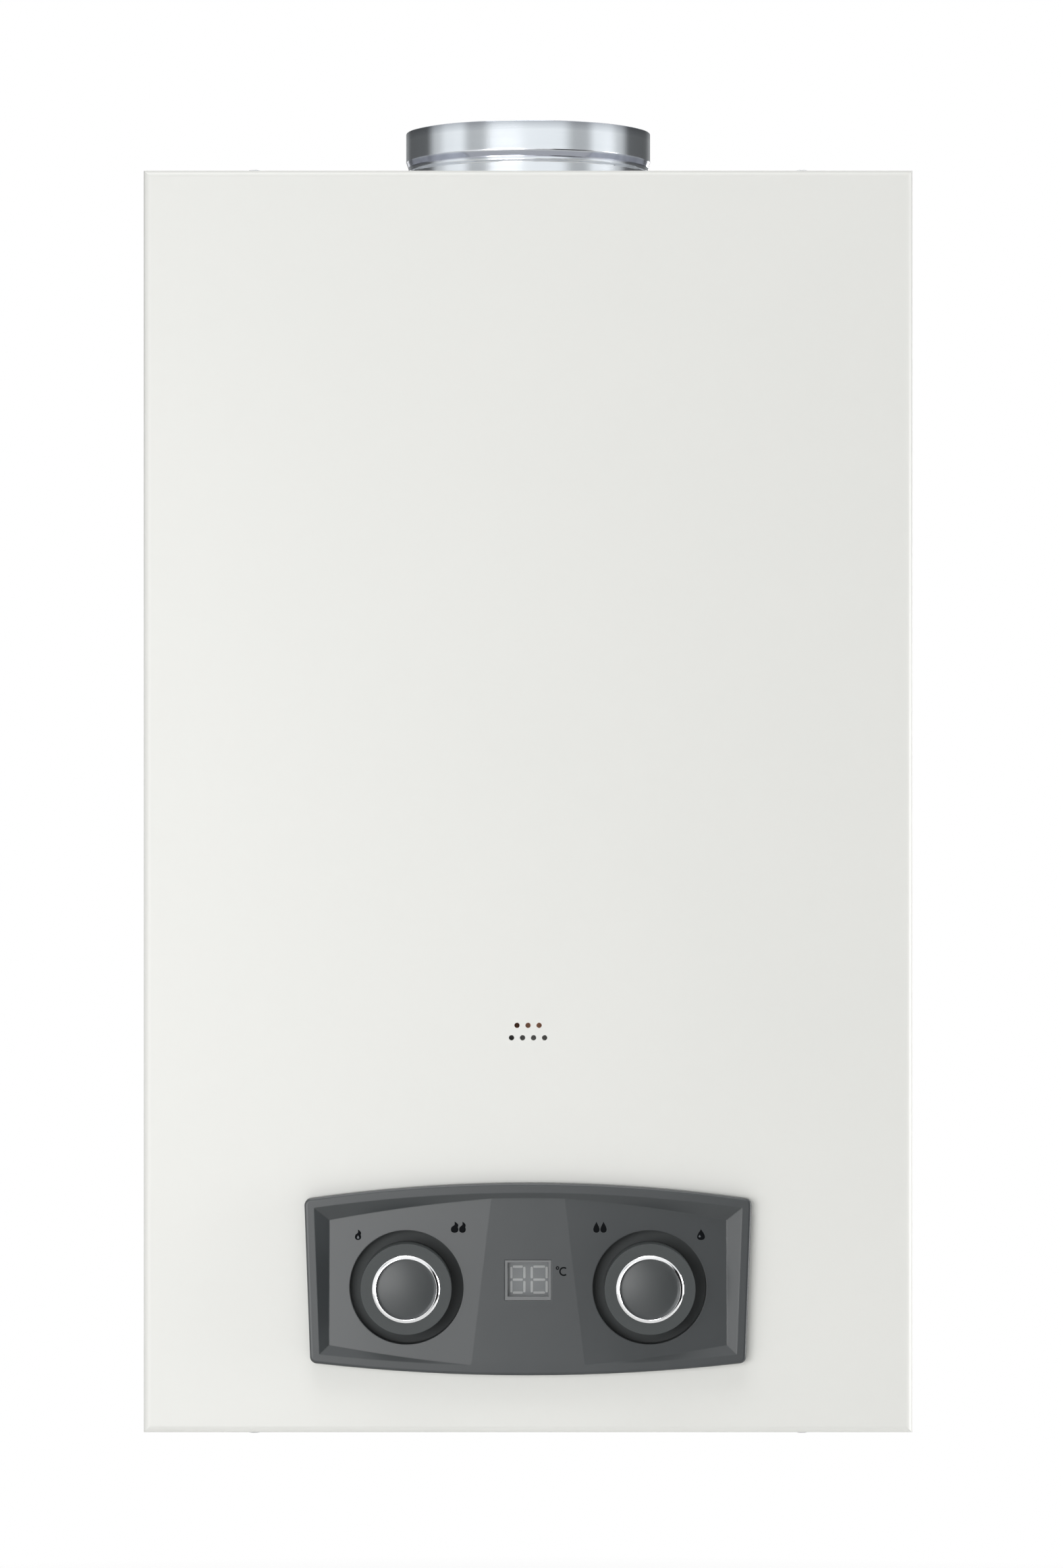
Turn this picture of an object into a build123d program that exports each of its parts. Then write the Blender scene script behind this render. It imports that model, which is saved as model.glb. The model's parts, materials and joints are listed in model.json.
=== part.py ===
from build123d import *
import os

# Wall-hung, open-flued instantaneous gas water heater, as separate pieces in millimetres.
# X runs to the right, Y into the wall and Z up. The origin lies on the wall plane, at the middle
# of the casing's bottom edge, so everything stands at Y below zero. Depths are counted from the
# wall towards the front, as positive numbers.

os.makedirs("parts", exist_ok=True)

# Casing and sheet metal
casing_width = 335.0
casing_height = 550.0
casing_depth = 170.0
cover_sheet = 0.8
chassis_sheet = 1.0
cover_bend = 3.0
cover_lip = 28.0
cover_screw_offset = 120.0
cover_screw_depth = 18.0
side_flange = 20.0
fold = 15.0
recess_height = 30.0
foot_depth = 28.0

# Clearances
slip = 0.3
running_gap = 0.05
braze_gap = 0.1
screw_gap = 0.3

# Wall fixing
hang_spacing = 220.0
hang_height = 500.0
keyhole_entry_radius = 6.5
keyhole_neck_width = 7.0
keyhole_rise = 14.0
lower_hole_height = 70.0
lower_hole_radius = 3.5

# Flue
flue_radius = 55.0
flue_wall = 0.8
flue_rise = 25.5
neck_rise = 7.5
neck_step = 1.4
bead_rise = 8.5
bead_height = 1.4
bead_step = 1.0
shoulder_height = 2.8
collar_flange_radius = 65.0
collar_bolt_radius = 59.0
collar_bend = 1.2
collar_lip_round = 0.3
hood_room = 12.0
hood_flange = 7.0
hood_height = 78.0
cone_height = 100.0
cone_radius = 46.0
cone_overlap = 8.0
hood_sheet = 0.8

# Control panel
panel_top_width = 194.5
panel_bottom_width = 189.3
panel_above_knobs = 38.3
panel_below_knobs = 32.7
panel_top_bow = 7.1
panel_bottom_bow = 5.5
panel_corner = 3.0
panel_rise = 6.0
panel_edge_round = 1.2
rim_width = 4.2
bevel_run = 5.2
dish_depth = 2.7
crest_depth = 1.2
crest_top_width = 32.0
crest_bottom_width = 49.0
plug_above_knobs = 33.7
plug_below_knobs = 28.3
plug_corner = 4.0
plug_depth = 10.0
plug_wall = 2.0
well_radius = 24.7
well_depth = 8.0
well_wall = 2.3
panel_screw_inset = 5.7
panel_screw_spacing = 44.0
panel_screw_bite = 2.5
plug_screw_gap = 3.65
well_side_gap = 1.2

# Display
window_width = 20.2
window_height = 17.5
window_thickness = 2.0
window_above_knobs = 3.2
board_width = 76.0
board_height = 34.0
board_thickness = 1.6
module_inset = 0.6

# Knobs and spindles
knob_radius = 19.7
knob_stand = 14.0
knob_wall = 2.2
knob_front_wall = 2.4
knob_edge_round = 1.4
knob_clearance = 0.8
knob_hub_radius = 7.0
ring_radius = 14.65
ring_width = 1.5
ring_proud = 1.0
ring_round = 0.45
seat_depth = 4.0
cap_sink = 0.4
cap_dome = 1.3
spindle_radius = 4.0
spindle_flat = 1.0
spindle_bite = 15.0

# Seven sight holes above the panel
sight_height = 174.8
sight_hole_radius = 1.15
sight_pitch = 4.8
sight_row_gap = 5.4

# Burner and combustion chamber
chamber_side_room = 60.4
chamber_front_room = 29.2
chamber_back = 30.0
chamber_sheet = 0.8
tray_sheet = 1.0
tray_height = 54.0
tray_below_sight = 2.8
blade_count = 9
blade_width = 12.0
blade_neck_width = 7.0
blade_height = 42.0
blade_neck_height = 12.0
blade_rise = 6.0
blade_slot_count = 8
blade_slot_pitch = 12.0
blade_slot_width = 2.0
blade_slot_depth = 3.0
manifold_size = 16.0
manifold_wall = 2.0
manifold_reach = 2.0
manifold_length = 196.0
manifold_end = 10.0
manifold_ear = 8.0
nozzle_radius = 3.0
nozzle_room = 1.0
nozzle_bore = 0.6
sight_glass_size = 30.0
sight_glass_thickness = 1.0
sight_glass_rise = 8.0

# Heat exchanger and pipes
fin_count = 25
fin_pitch = 8.0
fin_thickness = 0.6
fin_height = 40.0
fin_drop = 4.0
tube_passes = 5
tube_margin = 15.0
tube_reach = 8.0
pipe_radius = 7.0
pipe_wall = 1.0
pipe_bend = 18.0
pipe_tight_bend = 11.0
pipe_gap = 4.0
pipe_side_run = 38.0
coil_rise = 53.0
coil_climb = 10.0
gas_pipe_radius = 8.0
gas_pipe_bend = 12.0

# Gas and water valves
valve_drop = 32.8
valve_gap = 0.8
gas_block_width = 56.0
gas_block_above = 28.0
gas_block_below = 24.0
valve_front = 112.0
gas_block_depth = 52.0
block_round = 3.0
rod_depth = 86.0
rod_radius = 2.5
gland_length = 8.0
gas_chamber_radius = 12.0
disc_radius = 9.0
disc_thickness = 3.0
end_cap_thickness = 4.0
end_cap_radius = 20.0
collar_radius = 8.0
collar_thickness = 3.0
solenoid_radius = 15.0
solenoid_length = 34.0
water_block_width = 48.0
water_block_depth = 46.0
water_setback = 4.0
water_block_above = 22.0
water_block_below = 22.0
diaphragm_flange = 5.0
diaphragm_thickness = 2.0
diaphragm_cover_depth = 12.0
diaphragm_cover_wall = 2.0
diaphragm_chamber_radius = 23.0
diaphragm_plate_radius = 18.0
diaphragm_plate_thickness = 4.0
diaphragm_screw_radius = 28.7
spring_radius = 4.2
spring_wire = 0.5
spring_turns = 6

# Microswitch
switch_height = 12.0
switch_depth = 20.0
switch_above_rod = 12.5
switch_gap = 6.2
lever_thickness = 0.5
lever_width = 6.0
lever_pin_radius = 1.0
lever_pin_rise = 22.0
lever_tip_rise = 6.0
lever_ear = 3.0

# Water and gas connections
thread_radius = 10.48
thread_length = 19.0
thread_bore_radius = 7.0
hex_across = 27.0
hex_height = 8.0
connection_depth = 78.0
plate_hole_gap = 0.6
hot_outlet_offset = 125.0
hot_outlet_top = 45.0
filter_radius = 6.6
filter_wall = 0.8
filter_length = 16.0
plug_stem_radius = 5.0
plug_stem_length = 8.0
plug_head_radius = 6.0
plug_head_height = 6.0
plug_place = 11.0
plug_head_drop = 0.5

# Air slots in the bottom plate
slot_count = 12
slot_pitch = 13.0
slot_length = 22.0
slot_width = 5.0
slot_edge = 16.0

# Battery box
cell_radius = 17.1
cell_length = 60.0
cell_nub_radius = 4.75
cell_nub_height = 1.5
cell_gap = 0.6
battery_offset = 124.0
battery_depth = 95.0
battery_wall = 2.0
battery_flange = 3.0
contact_room = 3.5
contact_thickness = 1.0
contact_size = 12.0
door_thickness = 2.4
door_overlap = 5.0
knuckle_radius = 3.0
door_pin_radius = 1.5
hinge_drop = 3.5
hinge_lug = 2.0

# Ignition and safety parts
control_box_width = 44.0
control_box_depth = 48.0
control_box_height = 90.0
control_box_offset = 140.0
control_box_drop = 57.0
control_box_round = 3.0
electrode_offset = 34.0
electrode_rise = 8.0
insulator_radius = 3.2
insulator_length = 26.0
insulator_inside = 8.0
electrode_radius = 1.0
electrode_reach = 22.0
overheat_radius = 8.0
overheat_length = 8.0
overheat_rise = 125.0
sensor_height = 210.0
sensor_length = 20.0
sensor_wall = 3.0

# Brackets and screws
bracket_width = 20.0
bracket_sheet = 1.5
bracket_tab = 14.0
bracket_offset = 85.0
bracket_rise = 150.0
bracket_drop = 30.0
screw_radius = 1.6
screw_head_radius = 3.6
screw_head_height = 2.0
screw_reach = 5.0

# Places that follow from the sizes above
half_width = casing_width / 2
back_half = half_width - cover_sheet - slip
inner_half = back_half - chassis_sheet
roof_top = casing_height - cover_sheet
roof_under = roof_top - chassis_sheet
inside_front = casing_depth - cover_sheet
plate_front = casing_depth - cover_bend - slip
plate_top = recess_height + chassis_sheet
knob_height = plate_top + valve_drop
panel_front = casing_depth + panel_rise
flue_depth = casing_depth / 2
tray_top = sight_height - tray_below_sight
tray_bottom = tray_top - tray_height
chamber_half = inner_half - chamber_side_room
chamber_front = inside_front - chamber_front_room
chamber_deep = chamber_front - chamber_back
chamber_middle = (chamber_front + chamber_back) / 2
chamber_top = roof_under - hood_height - cone_height + cone_overlap
fin_top = chamber_top - fin_drop
tube_height = fin_top - fin_height / 2
panel_half = (panel_top_width + panel_bottom_width) / 4
panel_screw_x = panel_half - panel_screw_inset
plug_half = panel_screw_x - screw_head_radius - plug_screw_gap
water_x = plug_half - plug_wall - well_side_gap - well_wall - well_radius
gas_x = -water_x
blade_pitch = (manifold_length - 2 * manifold_end) / (blade_count - 1)
gas_right = gas_x + gas_block_width / 2
water_left = water_x - water_block_width / 2
diaphragm_x = water_left - diaphragm_flange
cover_x = diaphragm_x - diaphragm_thickness - diaphragm_cover_depth
diaphragm_radius = valve_drop - valve_gap
drain_depth = valve_front - plug_place
hinge_depth = battery_depth - cell_radius - cell_gap - door_overlap - knuckle_radius - slip
hinge_height = recess_height - hinge_drop
EVERY_CORNER_LOW = (Align.MIN, Align.MIN, Align.MIN)
BASE_LOW = (Align.CENTER, Align.CENTER, Align.MIN)
LEFT = (-1, 0, 0)
RIGHT = (1, 0, 0)
FRONT = (0, -1, 0)
WALL = (0, 1, 0)
UP = (0, 0, 1)
DOWN = (0, 0, -1)


def finish(piece, name):
    """Label a finished piece and write it to a file of its own."""
    piece.part.label = name
    export_step(piece.part, f"parts/{name}.step")


def slab(low, high, mode=Mode.ADD):
    """A box between its low and its high corner."""
    with Locations(low):
        Box(*(b - a for a, b in zip(low, high)), align=EVERY_CORNER_LOW, mode=mode)


def rod(start, direction, length, radius, mode=Mode.ADD):
    """A round bar from a point along a direction."""
    with Locations(Plane(start, z_dir=direction)):
        Cylinder(radius, length, align=BASE_LOW, mode=mode)


def bore(start, direction, length, radius):
    """A round hole from a point along a direction."""
    rod(start, direction, length, radius, Mode.SUBTRACT)


def facing(depth):
    """A plane that faces the front at a depth, with X to the right and Z up."""
    return Plane.XZ.offset(depth)


def turning_plane(x, height):
    """A plane through a knob's axis, whose first axis is the radius and second is the depth."""
    return Plane((x, 0, height), x_dir=RIGHT, z_dir=DOWN)


def upright_plane(x, depth):
    """A plane through an upright axis, whose first axis is the radius and second is the height."""
    return Plane((x, -depth, 0), x_dir=RIGHT, z_dir=FRONT)


def lying_plane(depth, height):
    """A plane through an axis along X, whose first axis is X and second is the radius."""
    return Plane((0, -depth, height), x_dir=RIGHT, z_dir=FRONT)


def pipe(points, radii, outer, wall):
    """A round pipe along straight runs joined by bends."""
    with BuildPart() as run:
        with BuildLine() as route:
            FilletPolyline(*points, radius=radii)
        with BuildSketch(Plane(route.line @ 0, z_dir=route.line % 0)):
            Circle(outer)
            Circle(outer - wall, mode=Mode.SUBTRACT)
        sweep()
    return run


def screws(places, direction, reach):
    """A group of equal pan-head screws: each place is the seat under a head, and the shank goes in."""
    with BuildPart() as group:
        for place in places:
            rod(place, direction, reach, screw_radius)
            rod(place, tuple(-part for part in direction), screw_head_height, screw_head_radius)
    return group


# Chassis: back plate with side flanges, keyholes above and round holes below
with BuildPart() as back_plate:
    slab((-back_half, -chassis_sheet, 0), (back_half, 0, roof_top))
    for side in (-1, 1):
        inner, outer = sorted((side * inner_half, side * back_half))
        slab((inner, -side_flange, 0), (outer, 0, roof_top))
    with BuildSketch(facing(0)):
        with GridLocations(hang_spacing, 0, 2, 1):
            with Locations((0, hang_height)):
                Circle(keyhole_entry_radius)
            with Locations((0, hang_height + keyhole_rise / 2)):
                SlotCenterToCenter(keyhole_rise, keyhole_neck_width, rotation=90)
            with Locations((0, lower_hole_height)):
                Circle(lower_hole_radius)
    extrude(amount=chassis_sheet, mode=Mode.SUBTRACT)
finish(back_plate, "back_plate")

# Places of the collar's screws and of the cover's screws, seen from above
collar_turns = PolarLocations(collar_bolt_radius, 4, start_angle=45)
collar_screw_places = [
    (turn.position.X, turn.position.Y - flue_depth, roof_top + flue_wall) for turn in collar_turns
]
cover_screw_x = (-cover_screw_offset, cover_screw_offset)
cover_screw_y = -casing_depth + cover_screw_depth

# Top plate with folded edges and the flue hole
with BuildPart() as top_plate:
    slab((-inner_half, -plate_front, roof_under), (inner_half, -chassis_sheet, roof_top))
    slab((-inner_half, -2 * chassis_sheet, roof_under - fold), (inner_half, -chassis_sheet, roof_under))
    slab(
        (-inner_half, -plate_front, roof_under - fold),
        (inner_half, -plate_front + chassis_sheet, roof_under),
    )
    bore((0, -flue_depth, roof_under), UP, chassis_sheet, flue_radius - neck_step - flue_wall)
    for x, y, z in collar_screw_places:
        bore((x, y, roof_under), UP, chassis_sheet, screw_radius)
    for x in cover_screw_x:
        bore((x, cover_screw_y, roof_under), UP, chassis_sheet, screw_radius)
finish(top_plate, "top_plate")

# Bottom plate, recessed above the casing's lower edge, with a wall and a foot at the front
wall_depth = casing_depth - foot_depth
door_half = 2 * cell_radius + cell_gap * 1.5 + door_overlap
with BuildPart() as bottom_plate:
    slab((-inner_half, -wall_depth, recess_height), (inner_half, -chassis_sheet, plate_top))
    slab((-inner_half, -2 * chassis_sheet, plate_top), (inner_half, -chassis_sheet, plate_top + fold))
    slab((-inner_half, -wall_depth, cover_sheet), (inner_half, -wall_depth + chassis_sheet, recess_height))
    slab(
        (-inner_half, -plate_front, cover_sheet),
        (inner_half, -wall_depth, cover_sheet + chassis_sheet),
    )
    for side in (-1, 1):
        near = battery_offset + side * (door_half + slip)
        far = near + side * hinge_lug
        slab(
            (min(near, far), -hinge_depth - knuckle_radius, hinge_height - knuckle_radius),
            (max(near, far), -hinge_depth + knuckle_radius, recess_height),
        )
        bore((min(near, far), -hinge_depth, hinge_height), RIGHT, hinge_lug, door_pin_radius)
    for x in (gas_x, water_x, -hot_outlet_offset):
        hole = thread_radius + plate_hole_gap
        bore((x, -connection_depth, recess_height), UP, chassis_sheet, hole)
    hole = plug_stem_radius + plate_hole_gap
    bore((water_x, -drain_depth, recess_height), UP, chassis_sheet, hole)
    for x in cover_screw_x:
        bore((x, cover_screw_y, cover_sheet), UP, chassis_sheet, screw_radius)
    with BuildSketch(Plane.XY.offset(recess_height)):
        with Locations((battery_offset, -battery_depth)):
            Rectangle(4 * cell_radius + 3 * cell_gap, 2 * (cell_radius + cell_gap))
        for depth in (slot_edge + slot_length / 2, wall_depth - slot_edge):
            with Locations((0, -depth)):
                with GridLocations(slot_pitch, 0, slot_count, 1):
                    SlotOverall(slot_length, slot_width, rotation=90)
    extrude(amount=chassis_sheet, mode=Mode.SUBTRACT)
finish(bottom_plate, "bottom_plate")

# Front cover: one folded sheet with rounded front edges, lips above and below, and full sides
panel_screw_z = (panel_above_knobs - panel_below_knobs) / 2
panel_screw_places = [
    (side * panel_screw_x, -inside_front, knob_height + panel_screw_z + level * panel_screw_spacing / 2)
    for side in (-1, 1)
    for level in (-1, 1)
]
with BuildPart() as front_cover:
    slab((-half_width, -casing_depth, 0), (half_width, -chassis_sheet, casing_height))
    fillet(front_cover.faces().sort_by(Axis.Y)[0].edges(), cover_bend)
    offset(amount=-cover_sheet, openings=front_cover.faces().sort_by(Axis.Y)[-1])
    for floor in (0, casing_height - cover_sheet):
        slab(
            (-half_width + cover_sheet, -casing_depth + cover_lip, floor),
            (half_width - cover_sheet, 0, floor + cover_sheet),
            Mode.SUBTRACT,
        )
        for x in cover_screw_x:
            bore((x, cover_screw_y, floor), UP, cover_sheet, screw_radius + screw_gap)
    bore((0, -flue_depth, roof_top), UP, cover_sheet, collar_flange_radius + slip)
    with BuildSketch(facing(inside_front)):
        with Locations((0, knob_height + (plug_above_knobs - plug_below_knobs) / 2)):
            RectangleRounded(
                2 * (plug_half + slip), plug_above_knobs + plug_below_knobs + 2 * slip, plug_corner + slip
            )
        with Locations((0, sight_height + sight_row_gap / 2)):
            with GridLocations(sight_pitch, 0, 3, 1):
                Circle(sight_hole_radius)
        with Locations((0, sight_height - sight_row_gap / 2)):
            with GridLocations(sight_pitch, 0, 4, 1):
                Circle(sight_hole_radius)
        with Locations(*((x, z) for x, y, z in panel_screw_places)):
            Circle(screw_radius + screw_gap)
    extrude(amount=cover_sheet, mode=Mode.SUBTRACT)
finish(front_cover, "front_cover")


def panel_outline(depth, inset, corner):
    """The panel's outline at a depth, drawn in: two bowed long edges and two leaning ends."""
    top = knob_height + panel_above_knobs
    bottom = knob_height - panel_below_knobs
    low_left = (-panel_bottom_width / 2, bottom)
    low_right = (panel_bottom_width / 2, bottom)
    high_right = (panel_top_width / 2, top)
    high_left = (-panel_top_width / 2, top)
    with BuildSketch(facing(depth)) as outline:
        with BuildLine():
            ThreePointArc(low_left, (0, bottom - panel_bottom_bow), low_right)
            Line(low_right, high_right)
            ThreePointArc(high_right, (0, top + panel_top_bow), high_left)
            Line(high_left, low_left)
        make_face()
        if inset > 0:
            offset(amount=-inset, kind=Kind.INTERSECTION)
        if corner > 0:
            fillet(outline.vertices(), corner)
    return outline.sketch


def plane_through(a, b, c):
    """A plane through three points that faces the front."""
    first = Vector(*b) - Vector(*a)
    normal = first.cross(Vector(*c) - Vector(*a))
    if normal.Y > 0:
        normal = normal * -1
    return Plane(Vector(*a), x_dir=first, z_dir=normal)


# The panel's dish has three flat floors: a middle band that leans back towards its top, and two
# sides that fall away from it to the panel's ends
dish_low = knob_height - panel_below_knobs
dish_high = knob_height + panel_above_knobs
dish_end = panel_half - rim_width - bevel_run
band_corners = {
    side: (
        (side * crest_bottom_width / 2, -panel_front, dish_low),
        (side * crest_top_width / 2, -panel_front + crest_depth, dish_high),
    )
    for side in (-1, 1)
}
band_plane = plane_through(*band_corners[-1], band_corners[1][0])
floor_planes = [band_plane]
for side in (-1, 1):
    end_point = (side * dish_end, -panel_front + dish_depth, knob_height)
    floor_planes.append(plane_through(*band_corners[side], end_point))
dish_reach = dish_depth + crest_depth
dish_inset = rim_width + bevel_run * dish_reach / dish_depth
dish_cuts = []
for floor_plane in floor_planes:
    with BuildPart() as dish_cut:
        dish_mouth = panel_outline(panel_front, rim_width, 0)
        dish_root = panel_outline(panel_front - dish_reach, dish_inset, 0)
        loft([dish_mouth, dish_root])
        with BuildSketch(floor_plane):
            Rectangle(4 * panel_top_width, 4 * panel_top_width)
        extrude(amount=2 * dish_reach, mode=Mode.INTERSECT)
    dish_cuts.append(dish_cut.part)

# The display window lies in the middle band, square to it
band_depth = crest_depth * (panel_below_knobs + window_above_knobs) / (dish_high - dish_low)
window_plane = Plane(
    (0, -panel_front + band_depth, knob_height + window_above_knobs), x_dir=RIGHT, z_dir=band_plane.z_dir
)
well_back = panel_front - well_depth
boss_back = well_back - well_wall

# Control panel: a moulded plate over the cover, with a hollow plug behind it and two round wells
with BuildPart() as control_panel:
    extrude(panel_outline(casing_depth, 0, panel_corner), amount=panel_rise)
    fillet(control_panel.faces().sort_by(Axis.Y)[0].edges(), panel_edge_round)
    with BuildSketch(facing(casing_depth - plug_depth)):
        with Locations((0, knob_height + (plug_above_knobs - plug_below_knobs) / 2)):
            RectangleRounded(2 * plug_half, plug_above_knobs + plug_below_knobs, plug_corner)
        offset(amount=-plug_wall, mode=Mode.SUBTRACT)
    extrude(amount=plug_depth)
    for x in (gas_x, water_x):
        boss_length = panel_front - dish_depth - boss_back
        rod((x, -boss_back, knob_height), FRONT, boss_length, well_radius + well_wall)
    for dish in dish_cuts:
        add(dish, mode=Mode.SUBTRACT)
    for x in (gas_x, water_x):
        bore((x, -well_back, knob_height), FRONT, well_depth, well_radius)
        bore((x, -boss_back, knob_height), FRONT, well_wall, spindle_radius + knob_wall)
    with BuildSketch(window_plane):
        Rectangle(window_width, window_height)
    extrude(amount=panel_rise, both=True, mode=Mode.SUBTRACT)
    for x, y, z in panel_screw_places:
        bore((x, -casing_depth, z), FRONT, panel_screw_bite, screw_radius)
finish(control_panel, "control_panel")

with BuildPart() as display_window:
    with BuildSketch(window_plane):
        Rectangle(window_width, window_height)
    extrude(amount=-window_thickness)
finish(display_window, "display_window")

# Display board on the backs of the two wells, with the digit block in front of it
board_middle = knob_height + window_above_knobs
with BuildPart() as display_board:
    slab(
        (-board_width / 2, -boss_back, board_middle - board_height / 2),
        (board_width / 2, -boss_back + board_thickness, board_middle + board_height / 2),
    )
finish(display_board, "display_board")

with BuildPart() as display_module:
    slab(
        (-window_width / 2 + module_inset, -panel_front + crest_depth + window_thickness,
         board_middle - window_height / 2 + module_inset),
        (window_width / 2 - module_inset, -boss_back, board_middle + window_height / 2 - module_inset),
    )
finish(display_module, "display_module")

# Knobs: a hollow skirted body with a hub, a bright ring and a domed cap, on a spindle with a flat
knob_face = casing_depth + knob_stand
knob_back = well_back + knob_clearance
seat = knob_face - seat_depth
spindle_end = seat - knob_front_wall
valve_bore_end = valve_front - spindle_bite


def knob_axis(x):
    """The axis that a knob turns about."""
    return Axis((x, 0, knob_height), FRONT)


def make_knob(x):
    """The knob's body: skirt, front wall with a round seat, and a hub with a flat-sided bore."""
    with BuildPart() as knob:
        with BuildSketch(turning_plane(x, knob_height)) as section:
            with BuildLine():
                Polyline(
                    (0, seat),
                    (ring_radius, seat),
                    (ring_radius, knob_face),
                    (knob_radius, knob_face),
                    (knob_radius, knob_back),
                    (knob_radius - knob_wall, knob_back),
                    (knob_radius - knob_wall, spindle_end),
                    (knob_hub_radius, spindle_end),
                    (knob_hub_radius, knob_back),
                    (0, knob_back),
                    close=True,
                )
            make_face()
            fillet(section.vertices().sort_by_distance((x + knob_radius, -knob_face, knob_height))[0],
                   knob_edge_round)
        revolve(axis=knob_axis(x))
        with BuildSketch(facing(knob_back)):
            with Locations((x, knob_height)):
                Circle(spindle_radius + running_gap)
            with Locations((x, knob_height + spindle_radius + running_gap)):
                Rectangle(2 * knob_radius, 2 * spindle_flat, mode=Mode.SUBTRACT)
        extrude(amount=spindle_end - knob_back, mode=Mode.SUBTRACT)
    return knob


def make_ring(x):
    """The bright ring round the cap, with rounded front edges."""
    with BuildPart() as ring:
        with BuildSketch(turning_plane(x, knob_height)):
            with Locations((ring_radius - ring_width / 2, seat)):
                Rectangle(ring_width, seat_depth + ring_proud, align=(Align.CENTER, Align.MIN))
        revolve(axis=knob_axis(x))
        fillet(ring.faces().sort_by(Axis.Y)[0].edges(), ring_round)
    return ring


def make_cap(x):
    """The cap inside the ring, with a shallow dome for its face."""
    edge = ring_radius - ring_width
    face = knob_face - cap_sink
    dome_radius = (edge**2 + cap_dome**2) / (2 * cap_dome)
    with BuildPart() as cap:
        rod((x, -seat, knob_height), FRONT, face - seat, edge)
        with Locations((x, -face + dome_radius, knob_height)):
            Sphere(dome_radius, mode=Mode.INTERSECT)
    return cap


def make_spindle(x):
    """The spindle from inside the valve to the knob, flat on one side where the knob grips it."""
    with BuildPart() as spindle:
        rod((x, -valve_bore_end, knob_height), FRONT, spindle_end - valve_bore_end, spindle_radius)
        slab(
            (x - spindle_radius, -spindle_end, knob_height + spindle_radius - spindle_flat),
            (x + spindle_radius, -knob_back + knob_clearance, knob_height + spindle_radius),
            Mode.SUBTRACT,
        )
    return spindle


for fluid, x in (("gas", gas_x), ("water", water_x)):
    finish(make_knob(x), f"{fluid}_knob")
    finish(make_ring(x), f"{fluid}_knob_ring")
    finish(make_cap(x), f"{fluid}_knob_cap")
    finish(make_spindle(x), f"{fluid}_spindle")

# Flue collar: a spun ring that steps out twice above its neck, on a flat flange
collar_seat = roof_top
collar_top = casing_height + flue_rise
neck_top = casing_height + neck_rise
neck_radius = flue_radius - neck_step
bead_low = casing_height + bead_rise
bead_high = bead_low + bead_height
bead_radius = flue_radius - bead_step
spigot_low = bead_high + shoulder_height
with BuildPart() as flue_collar:
    with BuildSketch(upright_plane(0, flue_depth)):
        with BuildLine():
            Polyline(
                (collar_flange_radius, collar_seat),
                (collar_flange_radius, collar_seat + flue_wall),
                (neck_radius, collar_seat + flue_wall),
                (neck_radius, neck_top),
                (bead_radius, bead_low),
                (bead_radius, bead_high),
                (flue_radius, spigot_low),
                (flue_radius, collar_top),
                (flue_radius - flue_wall, collar_top),
                (flue_radius - flue_wall, spigot_low),
                (bead_radius - flue_wall, bead_high),
                (bead_radius - flue_wall, bead_low),
                (neck_radius - flue_wall, neck_top),
                (neck_radius - flue_wall, collar_seat),
                close=True,
            )
        make_face()
    revolve(axis=Axis((0, -flue_depth, 0), UP))
    shoulder = flue_collar.edges().filter_by(GeomType.CIRCLE).filter_by(
        lambda edge: neck_top - flue_wall < edge.center().Z < collar_top - flue_wall
    )
    fillet(shoulder, collar_bend)
    fillet(flue_collar.edges().filter_by(GeomType.CIRCLE).group_by(Axis.Z)[-1], collar_lip_round)
    for x, y, z in collar_screw_places:
        bore((x, y, collar_seat), UP, flue_wall, screw_radius + screw_gap)
finish(flue_collar, "flue_collar")

# Draft hood: an open-bottomed drum under the top plate
hood_radius = flue_depth - hood_room
with BuildPart() as draft_hood:
    with BuildSketch(Plane.XY.offset(roof_under)):
        with Locations((0, -flue_depth)):
            Circle(hood_radius)
            Circle(hood_radius - hood_sheet, mode=Mode.SUBTRACT)
    extrude(amount=-hood_height)
    with BuildSketch(Plane.XY.offset(roof_under)):
        with Locations((0, -flue_depth)):
            Circle(hood_radius + hood_flange)
            Circle(hood_radius - hood_sheet, mode=Mode.SUBTRACT)
    extrude(amount=-hood_sheet)
    for x, y, z in collar_screw_places:
        bore((x, y, roof_under - screw_reach), UP, screw_reach, screw_radius + screw_gap)
finish(draft_hood, "draft_hood")

# Exhaust cone from the chamber's rectangle to a round mouth inside the hood
with BuildPart() as exhaust_cone:
    for inset, mode in ((0, Mode.ADD), (chamber_sheet, Mode.SUBTRACT)):
        with BuildSketch(Plane.XY.offset(chamber_top)):
            with Locations((0, -chamber_middle)):
                Rectangle(2 * (chamber_half - inset), chamber_deep - 2 * inset)
        with BuildSketch(Plane.XY.offset(chamber_top + cone_height)):
            with Locations((0, -flue_depth)):
                Circle(cone_radius - inset)
        loft(mode=mode)
finish(exhaust_cone, "exhaust_cone")

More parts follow.
